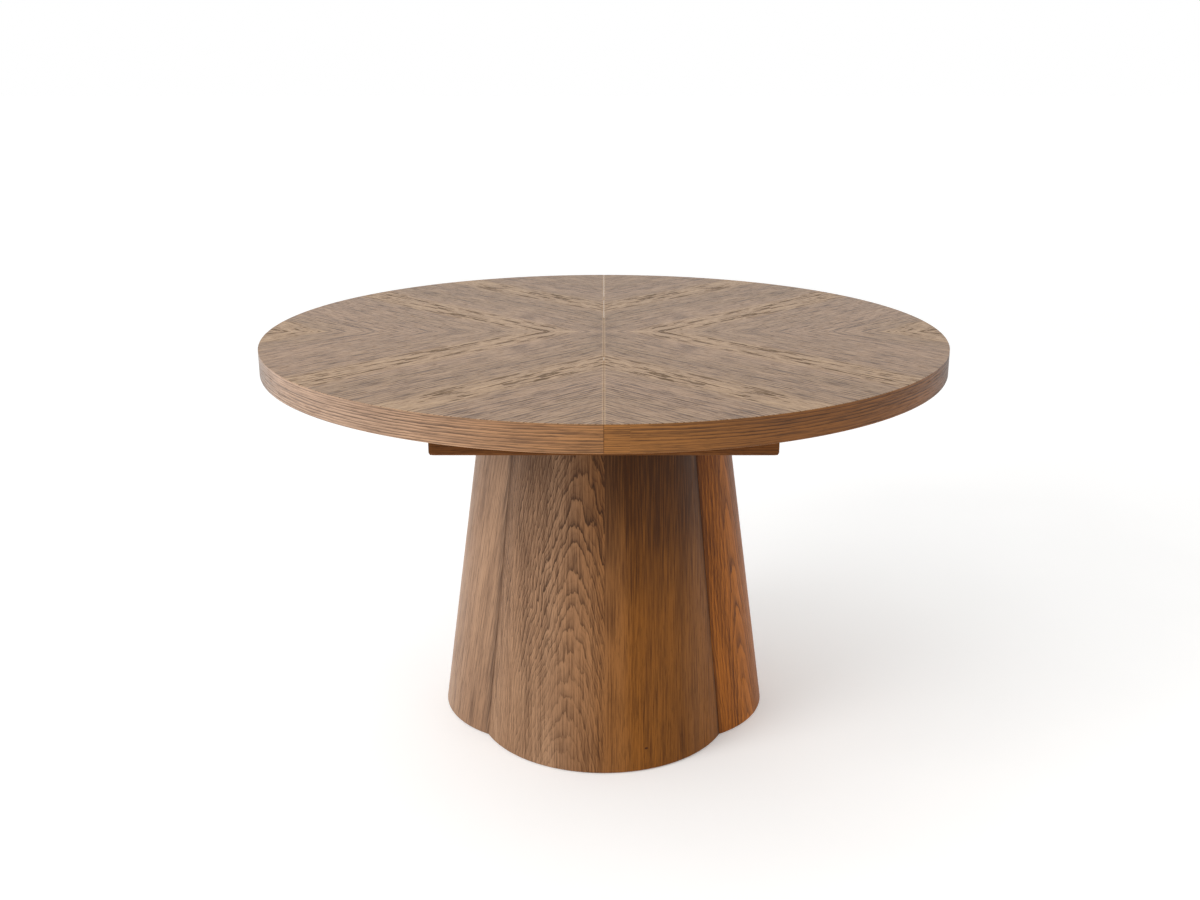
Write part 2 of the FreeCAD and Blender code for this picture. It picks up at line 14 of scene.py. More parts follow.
import bmesh
import bpy
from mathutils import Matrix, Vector

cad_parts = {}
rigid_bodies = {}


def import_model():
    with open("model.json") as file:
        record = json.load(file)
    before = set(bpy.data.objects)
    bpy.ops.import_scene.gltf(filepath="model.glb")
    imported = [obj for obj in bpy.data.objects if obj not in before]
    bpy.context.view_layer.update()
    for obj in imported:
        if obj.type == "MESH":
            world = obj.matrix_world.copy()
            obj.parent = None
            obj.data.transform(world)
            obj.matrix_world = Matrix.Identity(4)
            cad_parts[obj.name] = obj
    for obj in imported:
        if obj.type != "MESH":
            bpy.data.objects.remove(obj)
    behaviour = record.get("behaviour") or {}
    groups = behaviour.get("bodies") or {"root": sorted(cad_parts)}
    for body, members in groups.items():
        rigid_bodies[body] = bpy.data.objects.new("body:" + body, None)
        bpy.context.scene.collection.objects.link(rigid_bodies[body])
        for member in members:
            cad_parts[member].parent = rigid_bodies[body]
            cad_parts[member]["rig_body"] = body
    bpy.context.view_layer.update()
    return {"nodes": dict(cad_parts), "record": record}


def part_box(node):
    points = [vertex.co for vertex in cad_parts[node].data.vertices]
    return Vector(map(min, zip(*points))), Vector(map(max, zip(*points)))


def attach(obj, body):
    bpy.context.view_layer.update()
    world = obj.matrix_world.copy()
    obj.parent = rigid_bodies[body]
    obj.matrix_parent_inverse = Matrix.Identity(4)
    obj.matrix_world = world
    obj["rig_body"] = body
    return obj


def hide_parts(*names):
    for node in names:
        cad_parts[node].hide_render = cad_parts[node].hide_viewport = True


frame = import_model()

LOG = logging.getLogger("table")
MM = 0.001
GRAIN = "grain"
EDGE_ANGLE = math.radians(15)  # faces that meet at more than this keep their edge
LOBE_EDGE_ANGLE = math.radians(35)
TOUCH = 0.01 * MM

Colour = tuple[float, float, float, float]
Point = tuple[float, float, float]
Number = Union[float, "Value"]


# ------------------------------------------------------------------ node trees


class Value:
    """A number socket that takes part in Python expressions."""

    def __init__(self, graph: "Graph", socket: bpy.types.NodeSocket) -> None:
        """Wrap one socket of a graph."""
        self.graph = graph
        self.socket = socket

    def maths(self, operation: str, *others: Number) -> "Value":
        """Add a Math node with this value first.

        Args:
            operation: Name of the Math node's operation.
            others: The node's further inputs.

        Returns:
            The node's result.
        """
        return self.graph.maths(operation, self, *others)

    def __add__(self, other: Number) -> "Value":
        """Return self + other."""
        return self.maths("ADD", other)

    __radd__ = __add__

    def __sub__(self, other: Number) -> "Value":
        """Return self - other."""
        return self.maths("SUBTRACT", other)

    def __rsub__(self, other: Number) -> "Value":
        """Return other - self."""
        return self.graph.maths("SUBTRACT", other, self)

    def __mul__(self, other: Number) -> "Value":
        """Return self * other."""
        return self.maths("MULTIPLY", other)

    __rmul__ = __mul__

    def __truediv__(self, other: Number) -> "Value":
        """Return self / other."""
        return self.maths("DIVIDE", other)

    def __pow__(self, power: float) -> "Value":
        """Return self raised to a power."""
        return self.maths("POWER", power)

    def __abs__(self) -> "Value":
        """Return the size of self without its sign."""
        return self.maths("ABSOLUTE")

    def root(self) -> "Value":
        """Return the square root."""
        return self.maths("SQRT")

    def fract(self) -> "Value":
        """Return the part after the decimal point."""
        return self.maths("FRACT")

    def least(self, other: Number) -> "Value":
        """Return the smaller of two numbers."""
        return self.maths("MINIMUM", other)

    def most(self, other: Number) -> "Value":
        """Return the larger of two numbers."""
        return self.maths("MAXIMUM", other)

    def clamp(self) -> "Value":
        """Return self held between 0 and 1."""
        return self.least(1.0).most(0.0)

    def step(self, low: float, high: float) -> "Value":
        """Return a smooth rise from 0 at low to 1 at high.

        Args:
            low: Where the rise starts.
            high: Where the rise is complete.

        Returns:
            A value from 0 to 1.
        """
        return self.graph.value(
            "ShaderNodeMapRange",
            {"interpolation_type": "SMOOTHSTEP"},
            {"Value": self, "From Min": low, "From Max": high},
        )


class Graph:
    """A node tree that is filled from Python."""

    # sockets of a Mix node that are used when it blends colours
    FACTOR, COLOUR_A, COLOUR_B, COLOUR_OUT = 0, 6, 7, 2

    def __init__(self, tree: bpy.types.NodeTree) -> None:
        """Wrap one node tree."""
        self.tree = tree

    def node(
        self,
        kind: str,
        settings: Optional[dict[str, object]] = None,
        inputs: Optional[dict[Union[str, int], object]] = None,
    ) -> bpy.types.Node:
        """Add a node.

        Args:
            kind: The node's type name.
            settings: Its properties.
            inputs: Values, sockets or lists of sockets by socket name or number.

        Returns:
            The new node.
        """
        made = self.tree.nodes.new(kind)
        for name, setting in (settings or {}).items():
            setattr(made, name, setting)
        for key, value in (inputs or {}).items():
            self.feed(made.inputs[key], value)
        return made

    def feed(self, socket: bpy.types.NodeSocket, value: object) -> None:
        """Link a socket to what is given, or set it.

        Args:
            socket: The input socket.
            value: A value, a socket, a list of them, or a constant.
        """
        if isinstance(value, list):
            for one in value:
                self.feed(socket, one)
        elif isinstance(value, Value):
            self.tree.links.new(value.socket, socket)
        elif isinstance(value, bpy.types.NodeSocket):
            self.tree.links.new(value, socket)
        else:
            socket.default_value = value

    def value(
        self,
        kind: str,
        settings: Optional[dict[str, object]] = None,
        inputs: Optional[dict[Union[str, int], object]] = None,
        output: Union[str, int] = 0,
    ) -> Value:
        """Add a node whose result is a number.

        Args:
            kind: The node's type name.
            settings: Its properties.
            inputs: Values or sockets by socket name or number.
            output: Name or number of the output to use.

        Returns:
            The output's value.
        """
        return Value(self, self.node(kind, settings, inputs).outputs[output])

    def maths(self, operation: str, *numbers: Number) -> Value:
        """Return the result of a Math node over the numbers given."""
        return self.value("ShaderNodeMath", {"operation": operation}, dict(enumerate(numbers)))

    def vector(self, x: Number, y: Number, z: Number) -> bpy.types.NodeSocket:
        """Join three numbers into a vector."""
        return self.node("ShaderNodeCombineXYZ", None, {0: x, 1: y, 2: z}).outputs[0]

    def parts(self, vector: bpy.types.NodeSocket) -> tuple[Value, Value, Value]:
        """Split a vector into three numbers.

        Args:
            vector: The vector socket.

        Returns:
            The three components.
        """
        split = self.node("ShaderNodeSeparateXYZ", None, {0: vector})
        x, y, z = (Value(self, output) for output in split.outputs)
        return x, y, z

    def place(self) -> tuple[Value, Value, Value]:
        """Return the surface point's coordinates in the object's own frame."""
        return self.parts(self.node("ShaderNodeTexCoord").outputs["Object"])

    def noise(self, x: Number, y: Number, z: Number, detail: float = 2.0) -> Value:
        """Make noise about zero.

        Args:
            x: First coordinate, counted in cells.
            y: Second coordinate.
            z: Third coordinate.
            detail: How many finer layers are added.

        Returns:
            The noise, from about -0.5 to 0.5.
        """
        place = self.vector(x, y, z)
        made = self.value(
            "ShaderNodeTexNoise",
            None,
            {"Vector": place, "Scale": 1.0, "Detail": detail, "Roughness": 0.55},
        )
        return made - 0.5

    def mix(self, share: Number, first: object, second: object) -> bpy.types.NodeSocket:
        """Blend two colours.

        Args:
            share: Share of the second colour.
            first: Colour or socket shown at share 0.
            second: Colour or socket shown at share 1.

        Returns:
            The blended colour's socket.
        """
        inputs = {self.FACTOR: share, self.COLOUR_A: first, self.COLOUR_B: second}
        return self.node("ShaderNodeMix", {"data_type": "RGBA"}, inputs).outputs[self.COLOUR_OUT]


# -------------------------------------------------------------------- finishes


def linear(level: int) -> float:
    """Turn a level on the 0 to 255 display scale into linear light."""
    share = level / 255
    return share / 12.92 if share <= 0.04045 else ((share + 0.055) / 1.055) ** 2.4


def srgb(red: int, green: int, blue: int) -> Colour:
    """Return the linear colour of three display levels."""
    return linear(red), linear(green), linear(blue), 1.0


def new_material(name: str) -> tuple[bpy.types.Material, Graph, bpy.types.Node]:
    """Start a node material.

    Args:
        name: The material's name.

    Returns:
        The material, its graph and its surface shader.
    """
    made = bpy.data.materials.new(name)
    made.use_nodes = True
    return made, Graph(made.node_tree), made.node_tree.nodes["Principled BSDF"]


def finish_surface(
    g: Graph,
    shader: bpy.types.Node,
    colour: object,
    rough: Value,
    height: Value,
    strength: float,
    relief: float,
) -> None:
    """Join a finish to its surface shader.

    Args:
        g: The material's graph.
        shader: The surface shader.
        colour: Socket of the colour.
        rough: The roughness.
        height: Height of the surface, of which the shader is given the slopes.
        strength: Share of the slopes that is used.
        relief: Distance that a height of 1 stands for.
    """
    inputs = {"Strength": strength, "Distance": relief, "Height": height}
    g.feed(shader.inputs["Base Color"], colour)
    g.feed(shader.inputs["Roughness"], rough)
    g.feed(shader.inputs["Normal"], g.node("ShaderNodeBump", None, inputs).outputs[0])


@dataclass(frozen=True)
class Stain:
    """Colours of one stained oak: summer wood, spring wood, open pores and patches."""

    summer: Colour
    spring: Colour
    pore: Colour
    patch: Colour

    def colours(self) -> list[object]:
        """Return the four colours in that order."""
        return [self.summer, self.spring, self.pore, self.patch]


class Figure(Enum):
    """How the log was cut for a veneer."""

    STRAIGHT = "straight"
    ARCHED = "arched"
    WAVY = "wavy"


@dataclass(frozen=True)
class Weave:
    """A pattern of noise, in cells per metre along and across the grain.

    The level picks a slice of the noise, so that no two patterns fall together.
    """

    along: float
    across: float
    level: float
    detail: float = 2.0

    def on(self, g: Graph, along: Value, across: Value, fine: float = 1.0) -> Value:
        """Lay the pattern on the grain.

        Args:
            g: The material's graph.
            along: Distance along the grain.
            across: Distance across the grain.
            fine: How many times finer the cells are across the grain.

        Returns:
            The pattern, from about -0.5 to 0.5.
        """
        return g.noise(along * self.along, across * (self.across * fine), self.level, self.detail)


# patterns of every oak; fibres and pores count their cells along the grain in runs of fibre
JAGS = Weave(22, 190, 2.3, 3.0)
VIGOUR = Weave(5, 34, 9.1)
FIBRES = Weave(1, 330, 3.1, 3.0)
PORES = Weave(3.6, 520, 7.7)
STREAKS = Weave(1.2, 42, 6.1, 3.0)
CLOUDS = Weave(2.2, 9, 5.2, 3.0)
DRIFT = Weave(2.5, 5, 1.7)

# patterns of the heart bands in the top
FLECKS = Weave(19, 170, 4.4, 3.0)
KNOTS = Weave(11, 46, 2.9)
STRIPE_WANDER = Weave(6, 20, 1.1)
HEART_SWAY = Weave(3.1, 2, 8.8)
HEART_EDGE = Weave(13, 50, 5.5)

# patterns of the rim and of the pedestal's lobes
RIM_DRIFT = Weave(2.6, 9, 1.7)
LOBE_DRIFT = Weave(1.4, 5, 1.7, 1.0)
LOBE_WAVE = Weave(8, 24, 6.6)
LEAF_EDGE = Weave(1.5, 12, 4.9)
# ragged edge of the shadow of the top that is painted on the upper lobes
TOP_SHADE_EDGE = Weave(2, 14, 2.2)


@dataclass(frozen=True)
class OakFinish:
    """Satin stained oak with growth rings, fibres, pores and stain patches."""

    name: str
    stain: Stain
    second: Optional[Stain] = None
    ring: float = 3.2 * MM
    jag: float = 1.0
    contrast: float = 0.9
    pores: float = 0.55
    fibres: float = 1.8
    streaks: float = 1.4
    fineness: float = 1.0
    run: float = 12.0
    ink: float = 0.6
    base: float = 0.2
    # pale heart bands, and the colour of the painted seam highlight
    heartwood_and_highlight: Colour = srgb(176, 144, 110)
    roughness: float = 0.44
    relief: float = 0.25 * MM
    lacquer: float = 0.0
    gloss: float = 0.35
    stripe: float = 1 / 210

    def grain(self, g: Graph) -> tuple[Value, Value]:
        """Return the distances along and across the grain."""
        x, y, _ = g.place()
        return y, x

    def depth(self, g: Graph, along: Value, across: Value) -> Value:
        """Return the distance from the middle of the log, which sets the rings."""
        return across + DRIFT.on(g, along, across) * (6 * MM)

    def show(self, g: Graph, along: Value, across: Value) -> Number:
        """Return how strongly the rings show, from 0 to 1."""
        return 1.0

    def share(self, g: Graph, along: Value, across: Value) -> Number:
        """Return where the second stain is used, from 0 to 1."""
        return 0.0

    def pale(self, g: Graph, along: Value, across: Value) -> Optional[Value]:
        """Return where the heart of a leaf shows pale, if anywhere."""
        return None

    def hairs(self, g: Graph, along: Value, across: Value) -> Number:
        """Return how dark the fine lines between the rings are."""
        return 0.4

    def marks_and_painted_shade(self, g: Graph, along: Value, across: Value) -> Optional[Value]:
        """Return where the wood is darkened by marks or by painted shade, if anywhere."""
        return None

    def painted_edge_highlight(self, g: Graph) -> Optional[Value]:
        """Return where a pale highlight is painted along an edge, if anywhere."""
        return None

    def tones(self, g: Graph, along: Value, across: Value) -> list[object]:
        """Blend the stains.

        Args:
            g: The material's graph.
            along: Distance along the grain.
            across: Distance across the grain.

        Returns:
            The summer, spring, pore and patch colours at a point.
        """
        first = self.stain.colours()
        if self.second is None:
            return first
        second = self.share(g, along, across)
        return [g.mix(second, one, two) for one, two in zip(first, self.second.colours())]

    def rings(self, g: Graph, along: Value, across: Value) -> tuple[Value, Value, Value]:
        """Draw the growth rings: a dark line each, hair lines between and a pale side.

        Args:
            g: The material's graph.
            along: Distance along the grain.
            across: Distance across the grain.

        Returns:
            The strengths of the dark line, the hair lines and the pale side.
        """
        depth = self.depth(g, along, across)
        show = self.show(g, along, across)
        fine = self.fineness
        uneven = g.noise(depth * 85 * fine, 3.3, 0.7, 1.0) * (7 * MM / fine)
        bent = depth + uneven
        ragged = JAGS.on(g, along, across, fine) * (self.jag * self.ring)
        phase = ((bent + ragged) / self.ring).fract()
        vigour = (VIGOUR.on(g, along, across, fine) * 1.9 + 0.8).clamp()
        strength = (g.noise(bent / self.ring * 0.7, 0.5, 4.2, 1.0) * 2.0 + 0.8).clamp()
        line = (1 - phase) ** 4.5 * phase.step(0.0, 0.07) * vigour * strength * show
        hair_ring = self.ring * 0.37
        hair = (1 - (bent / hair_ring).fract()) ** 3 * self.hairs(g, along, across) * show
        return line, hair, phase.step(0.5, 1.0) * show * 0.3

    def make(self) -> bpy.types.Material:
        """Build the material.

        Returns:
            The material.
        """
        made, g, shader = new_material(self.name)
        along, across = self.grain(g)
        summer, spring, dark, patch = self.tones(g, along, across)
        line, hair, glow = self.rings(g, along, across)
        fine = self.fineness
        fibre = FIBRES.on(g, along * self.run, across, fine)
        streak = STREAKS.on(g, along, across, fine)
        cloud = CLOUDS.on(g, along, across)
        pore = PORES.on(g, along * self.run, across, fine).step(0.02, 0.17) * (line * 0.8 + 0.5)
        # marks and painted shade, which push the wood towards the spring colour
        painted_shade_and_marks = self.marks_and_painted_shade(g, along, across)
        shade = line * self.contrast + hair + fibre * self.fibres + streak * self.streaks - glow
        shade = shade + self.base if painted_shade_and_marks is None else shade + painted_shade_and_marks + self.base
        colour = g.mix((cloud * 2.2 + 0.3).clamp() * 0.8, summer, patch)
        colour = g.mix(shade.clamp(), colour, spring)
        heart = self.pale(g, along, across)
        if heart is not None:
            fleck = FLECKS.on(g, along, across).step(0.04, 0.1) * heart
            knot = KNOTS.on(g, along, across).step(0.14, 0.2) * heart
            wander = STRIPE_WANDER.on(g, along, across) * 2.5
            stripe = (across / self.stripe + wander).fract().step(0.0, 0.5)
            paleness = heart * (0.75 - fibre * 1.5) * (stripe * 0.6 + 0.4)
            colour = g.mix(paleness, colour, self.heartwood_and_highlight)
            pore = pore.most(fleck * 1.2).most(knot)
            line = line * (1 - heart * 0.7)
        inked = (pore * self.pores).most(line * self.ink)
        # marks and painted shade also darken the colour towards the pore colour
        if painted_shade_and_marks is not None:
            inked = inked.most(painted_shade_and_marks.clamp() * 0.5)
        colour = g.mix(inked, colour, dark)
        # painted highlight along an edge, in the pale heartwood colour
        painted_highlight = self.painted_edge_highlight(g)
        if painted_highlight is not None:
            colour = g.mix(painted_highlight, colour, self.heartwood_and_highlight)
        rough = (pore * 0.25 + fibre * 0.15 + cloud * 0.08 + self.roughness).clamp()
        height = fibre * 0.3 - pore * 0.7 - line * 0.5
        finish_surface(g, shader, colour, rough, height, 0.6, self.relief)
        if self.lacquer > 0:
            film = self.lacquer - self.share(g, along, across) * (0.75 * self.lacquer)
            g.feed(shader.inputs["Coat Weight"], (1 - pore * 0.8 - line * 0.6).clamp() * film)
        shader.inputs["Coat Roughness"].default_value = self.roughness - 0.08
        shader.inputs["Specular IOR Level"].default_value = self.gloss
        return made


@dataclass(frozen=True)
class QuarteredTop(OakFinish):
    """Four veneer quarters whose grain runs out from the centre in chevrons."""

    hearts: tuple[float, ...] = (-0.169, 0.076, 0.413)
    pith: float = 22 * MM
    rise: float = 0.035
    heart_width: float = 34 * MM
    # width of the highlight painted along the seam
    highlight_width: float = 2.6 * MM

    def grain(self, g: Graph) -> tuple[Value, Value]:
        """Return distances along and across the diagonal of a quarter.

        Args:
            g: The finish's node graph.

        Returns:
            Distances along and across the grain.
        """
        x, y, _ = g.place()
        side, reach = abs(x), abs(y)
        half = math.sqrt(0.5)
        return (side + reach) * half, (side - reach) * half

    def from_heart(self, g: Graph, along: Value, across: Value) -> Value:
        """Return the distance from the nearest heart line of the leaves.

        Args:
            g: The finish's node graph.
            along: Distance along the grain.
            across: Distance across the grain.

        Returns:
            The distance from the heart.
        """
        sway = HEART_SWAY.on(g, along, across) * (22 * MM)
        gaps = [abs(across + sway - heart) for heart in self.hearts]
        return gaps[0].least(gaps[1]).least(gaps[2])

    def depth(self, g: Graph, along: Value, across: Value) -> Value:
        """Return the distance from the log's middle under the nearest heart.

        Args:
            g: The finish's node graph.
            along: Distance along the grain.
            across: Distance across the grain.

        Returns:
            The distance from the log's middle.
        """
        aside = self.from_heart(g, along, across)
        under = along * self.rise + self.pith
        return (aside * aside + under * under).root()

    def pale(self, g: Graph, along: Value, across: Value) -> Value:
        """Return a ragged band along each heart line.

        Args:
            g: The finish's node graph.
            along: Distance along the grain.
            across: Distance across the grain.

        Returns:
            The share of pale wood.
        """
        ragged = HEART_EDGE.on(g, along, across) * (34 * MM)
        aside = self.from_heart(g, along, across) + ragged
        return 1 - aside.step(0.7 * self.heart_width, 1.5 * self.heart_width)

    def painted_edge_highlight(self, g: Graph) -> Value:
        """Return a painted highlight along the seam.

        Args:
            g: The finish's node graph.

        Returns:
            The share of painted highlight.
        """
        x, y, _ = g.place()
        # painted seam highlight, broken up along its length
        highlight_strength = g.noise(y * 9, 0.4, 3.3) * 0.8 + 0.65
        seam = 1 - abs(x).step(0.5 * self.highlight_width, 1.6 * self.highlight_width)
        return seam * highlight_strength.clamp() * 0.85


@dataclass(frozen=True)
class AttributeOak(OakFinish):
    """Oak whose grain follows the piece's own stored grain coordinates."""

    def stored(self, g: Graph) -> tuple[Value, Value, Value]:
        """Return the three stored coordinates."""
        return g.parts(g.node("ShaderNodeAttribute", {"attribute_name": GRAIN}).outputs["Vector"])

    def grain(self, g: Graph) -> tuple[Value, Value]:
        """Return the stored distances along and across the grain."""
        along, across, _ = self.stored(g)
        return along, across


@dataclass(frozen=True)
class RimOak(AttributeOak):
    """Straight-grained bent rim, perhaps with one short splice beside the seam."""

    splice: float = 0.0
    warm_reach: float = 0.5

    def share(self, g: Graph, along: Value, across: Value) -> Value:
        """Return the warmer stain, which gathers towards both ends of the seam."""
        return (1 - along.step(-0.1, self.warm_reach)).most(along.step(1.2, 1.9))

    def marks_and_painted_shade(self, g: Graph, along: Value, across: Value) -> Value:
        """Return darkening towards the table's ends."""
        return along.step(0.6, 0.93) * (0.85 - along.step(1.1, 1.7) * 0.6)

    def depth(self, g: Graph, along: Value, across: Value) -> Value:
        """Return near-parallel rings that wander along the rim.

        Args:
            g: The finish's node graph.
            along: Distance along the grain.
            across: Distance across the grain.

        Returns:
            The distance from the log's middle.
        """
        patch = 1 - along.step(self.splice, self.splice + 0.6 * MM)
        drift = RIM_DRIFT.on(g, along, across) * (9 * MM)
        return across * (1 + patch * 0.7) + drift + patch * (17 * MM)


@dataclass(frozen=True)
class LobeOak(AttributeOak):
    """Veneer of one pedestal lobe.

    The tips of its arches stand on a line that starts at "heart" and leans.
    """

    figure: Figure = Figure.STRAIGHT
    heart: float = -0.080
    lean: float = 0.074
    rise: float = 0.080
    spread: float = 0.86
    sway: float = 4 * MM
    joint: float = 1.5 * MM
    # width of the shade painted along each crease
    crease_shade_width: float = 15 * MM
    knot: tuple[float, float] = (0.080, 0.043)
    knot_size: tuple[float, float] = (4.5 * MM, 2.5 * MM)

    def depth(self, g: Graph, along: Value, across: Value) -> Value:
        """Return the rings of the chosen figure.

        Args:
            g: The finish's node graph.
            along: Distance along the grain.
            across: Distance across the grain.

        Returns:
            The distance from the log's middle.
        """
        slow = LOBE_DRIFT.on(g, along, across) * (10 * MM)
        plain = across + slow * 0.4
        if self.figure is Figure.STRAIGHT:
            return plain
        wave = LOBE_WAVE.on(g, along, across) * self.sway
        under = along * self.rise + slow
        arched = self.from_heart(along, across) ** 1.6 * self.spread + under + wave
        if self.figure is Figure.WAVY:
            return arched
        right = self.right_leaf(across)
        return arched * (1 - right) + plain * right

    def from_heart(self, along: Value, across: Value) -> Value:
        """Return the distance from the line of the arches' tips."""
        return abs(across - (along * self.lean + self.heart))

    def hairs(self, g: Graph, along: Value, across: Value) -> Number:
        """Return fine lines that fade towards the tips of the arches.

        Args:
            g: The finish's node graph; not used.
            along: Distance along the grain.
            across: Distance across the grain.

        Returns:
            The strength of the hair lines.
        """
        if self.figure is Figure.STRAIGHT:
            return 0.6
        return self.from_heart(along, across).step(8 * MM, 45 * MM) * 0.6 + 0.15

    def right_leaf(self, across: Value) -> Value:
        """Return the straight-cut leaf beside the arched one."""
        return across.step(self.joint - 0.2 * MM, self.joint + 0.2 * MM)

    def share(self, g: Graph, along: Value, across: Value) -> Number:
        """Return where the plain darker stain takes over from the painted sheen of the first stain,
        towards and beyond the joint.

        Args:
            g: The finish's node graph.
            along: Distance along the grain.
            across: Distance across the grain.

        Returns:
            The share of the plain darker stain.
        """
        if self.second is None:
            return 0.0
        return (across.step(-0.12, 0.06) + LEAF_EDGE.on(g, along, across) * 0.5).clamp()

    def marks_and_painted_shade(self, g: Graph, along: Value, across: Value) -> Value:
        """Return the painted shade at the creases and under the top, and a small dark knot.

        Args:
            g: The finish's node graph.
            along: Distance along the grain.
            across: Distance across the grain.

        Returns:
            The strength of the painted shade and the knot.
        """
        from_crease = self.stored(g)[2]
        # painted shade along the creases where two lobes meet
        crease = (1 - from_crease.step(0.0, self.crease_shade_width)) * 0.38
        # painted shadow of the table top over the upper part of the lobe
        painted_top_shade = (along + TOP_SHADE_EDGE.on(g, along, across) * 0.2).step(0.22, 0.6)
        if self.figure is Figure.WAVY:
            return crease + painted_top_shade * 0.3
        if self.figure is Figure.STRAIGHT:
            return crease
        # a small dark knot in the wood; the painted shadow of the top falls darker on the straight
        # leaf
        aside = (across - self.knot[0]) / self.knot_size[0]
        above = (along - self.knot[1]) / self.knot_size[1]
        knot = 1 - (aside * aside + above * above).root().step(0.3, 1.0)
        return crease + painted_top_shade * (self.right_leaf(across) * 0.55 + 0.2) + knot

    def show(self, g: Graph, along: Value, across: Value) -> Number:
        """Return how strongly the rings show: less on the straight cut and near the foot.

        Args:
            g: The finish's node graph; not used.
            along: Distance along the grain.
            across: Distance across the grain.

        Returns:
            How clearly the figure shows.
        """
        if self.figure is Figure.ARCHED:
            weaker = 1 - self.right_leaf(across) * 0.75
            return weaker * (along.step(0.02, 0.4) * 0.5 + 0.5)
        return 0.4 if self.figure is Figure.STRAIGHT else 1.0


@dataclass(frozen=True)
class BarOak(OakFinish):
    """Stained bar stock whose grain runs along one axis of the table."""

    lengthwise: int = 0

    def grain(self, g: Graph) -> tuple[Value, Value]:
        """Return distances along the bar and across it.

        Args:
            g: The finish's node graph.

        Returns:
            Distances along and across the grain.
        """
        x, y, z = g.place()
        if self.lengthwise == 0:
            return x, y + z * 0.8
        return y, x + z * 0.8


@dataclass(frozen=True)
class PlainFinish:
    """A finish of two colours that one pattern blends."""

    name: str
    light: Colour
    shade: Colour
    strength: float = 0.3
    relief: float = 0.2 * MM
    metallic: float = 0.0

    def pattern(self, g: Graph) -> tuple[Value, Value, Value]:
        """Return the share of the darker colour, the roughness and the height."""
        raise NotImplementedError

    def make(self) -> bpy.types.Material:
        """Build the material.

        Returns:
            The material.
        """
        made, g, shader = new_material(self.name)
        share, rough, height = self.pattern(g)
        colour = g.mix(share.clamp(), self.light, self.shade)
        finish_surface(g, shader, colour, rough, height, self.strength, self.relief)
        shader.inputs["Metallic"].default_value = self.metallic
        return made


@dataclass(frozen=True)
class BoardFinish(PlainFinish):
    """Pressed chip board seen at its edges."""

    strength: float = 0.4
    relief: float = 0.3 * MM

    def pattern(self, g: Graph) -> tuple[Value, Value, Value]:
        """Return flat chips with dust between them.

        Args:
            g: The finish's node graph.

        Returns:
            The share of the darker colour, the roughness and the height.
        """
        x, y, z = g.place()
        chips = g.noise(x * 320, y * 320, z * 700, 2.0)
        dust = g.noise(x * 1600, y * 1600, z * 1600, 1.0)
        return chips * 1.8 + dust * 0.6 + 0.5, chips * 0.1 + 0.75, chips + dust * 0.4


@dataclass(frozen=True)
class PlyFinish(PlainFinish):
    """Birch plywood: level plies on the edge, soft figure on the face."""

    ply: float = 1.6 * MM

    def pattern(self, g: Graph) -> tuple[Value, Value, Value]:
        """Return level plies under a soft figure.

        Args:
            g: The finish's node graph.

        Returns:
            The share of the darker colour, the roughness and the height.
        """
        x, y, z = g.place()
        layer = (z / self.ply + g.noise(x * 30, y * 30, 0.0) * 0.15).fract().step(0.45, 0.55)
        face = g.noise(x * 12, y * 90, z * 5, 3.0)
        return layer * 0.45 + face * 0.9 + 0.3, face * 0.12 + 0.68, face + layer * 0.2


@dataclass(frozen=True)
class MetalFinish(PlainFinish):
    """Plated or brushed metal with fine marks."""

    strength: float = 0.2
    relief: float = 0.08 * MM
    metallic: float = 1.0
    roughness: float = 0.34

    def pattern(self, g: Graph) -> tuple[Value, Value, Value]:
        """Return clouds crossed by fine brush marks.

        Args:
            g: The finish's node graph.

        Returns:
            The share of the darker colour, the roughness and the height.
        """
        x, y, z = g.place()
        cloud = g.noise(x * 90, y * 90, z * 90, 3.0)
        brushed = g.noise(x * 400, y * 3000, z * 900, 1.0)
        rough = (cloud * 0.25 + brushed * 0.15 + self.roughness).clamp()
        return cloud * 1.3 + 0.45, rough, brushed + cloud * 0.4


@dataclass(frozen=True)
class NylonFinish(PlainFinish):
    """Moulded nylon with a faint flow pattern."""

    strength: float = 0.25
    relief: float = 0.06 * MM

    def pattern(self, g: Graph) -> tuple[Value, Value, Value]:
        """Return flow lines with fine specks.

        Args:
            g: The finish's node graph.

        Returns:
            The share of the darker colour, the roughness and the height.
        """
        x, y, z = g.place()
        flow = g.noise(x * 40, y * 110, z * 60, 3.0)
        speck = g.noise(x * 2200, y * 2200, z * 2200, 1.0)
        return flow * 1.2 + speck * 0.3 + 0.4, speck * 0.12 + 0.48, speck + flow * 0.5


Finish = Union[OakFinish, PlainFinish]

TOP_STAIN = Stain(srgb(164, 132, 104), srgb(94, 68, 48), srgb(38, 24, 16), srgb(146, 120, 88))
# pale left rim stain, lightened to hold a painted sheen
RIM_STAIN_AND_SHEEN = Stain(srgb(170, 138, 112), srgb(98, 72, 52), srgb(40, 26, 16), srgb(142, 108, 84))
RIM_WARM = Stain(srgb(166, 112, 56), srgb(92, 56, 24), srgb(34, 18, 5), srgb(142, 92, 42))
RIM_DEEP = Stain(srgb(130, 80, 30), srgb(68, 38, 12), srgb(26, 13, 4), srgb(106, 63, 22))
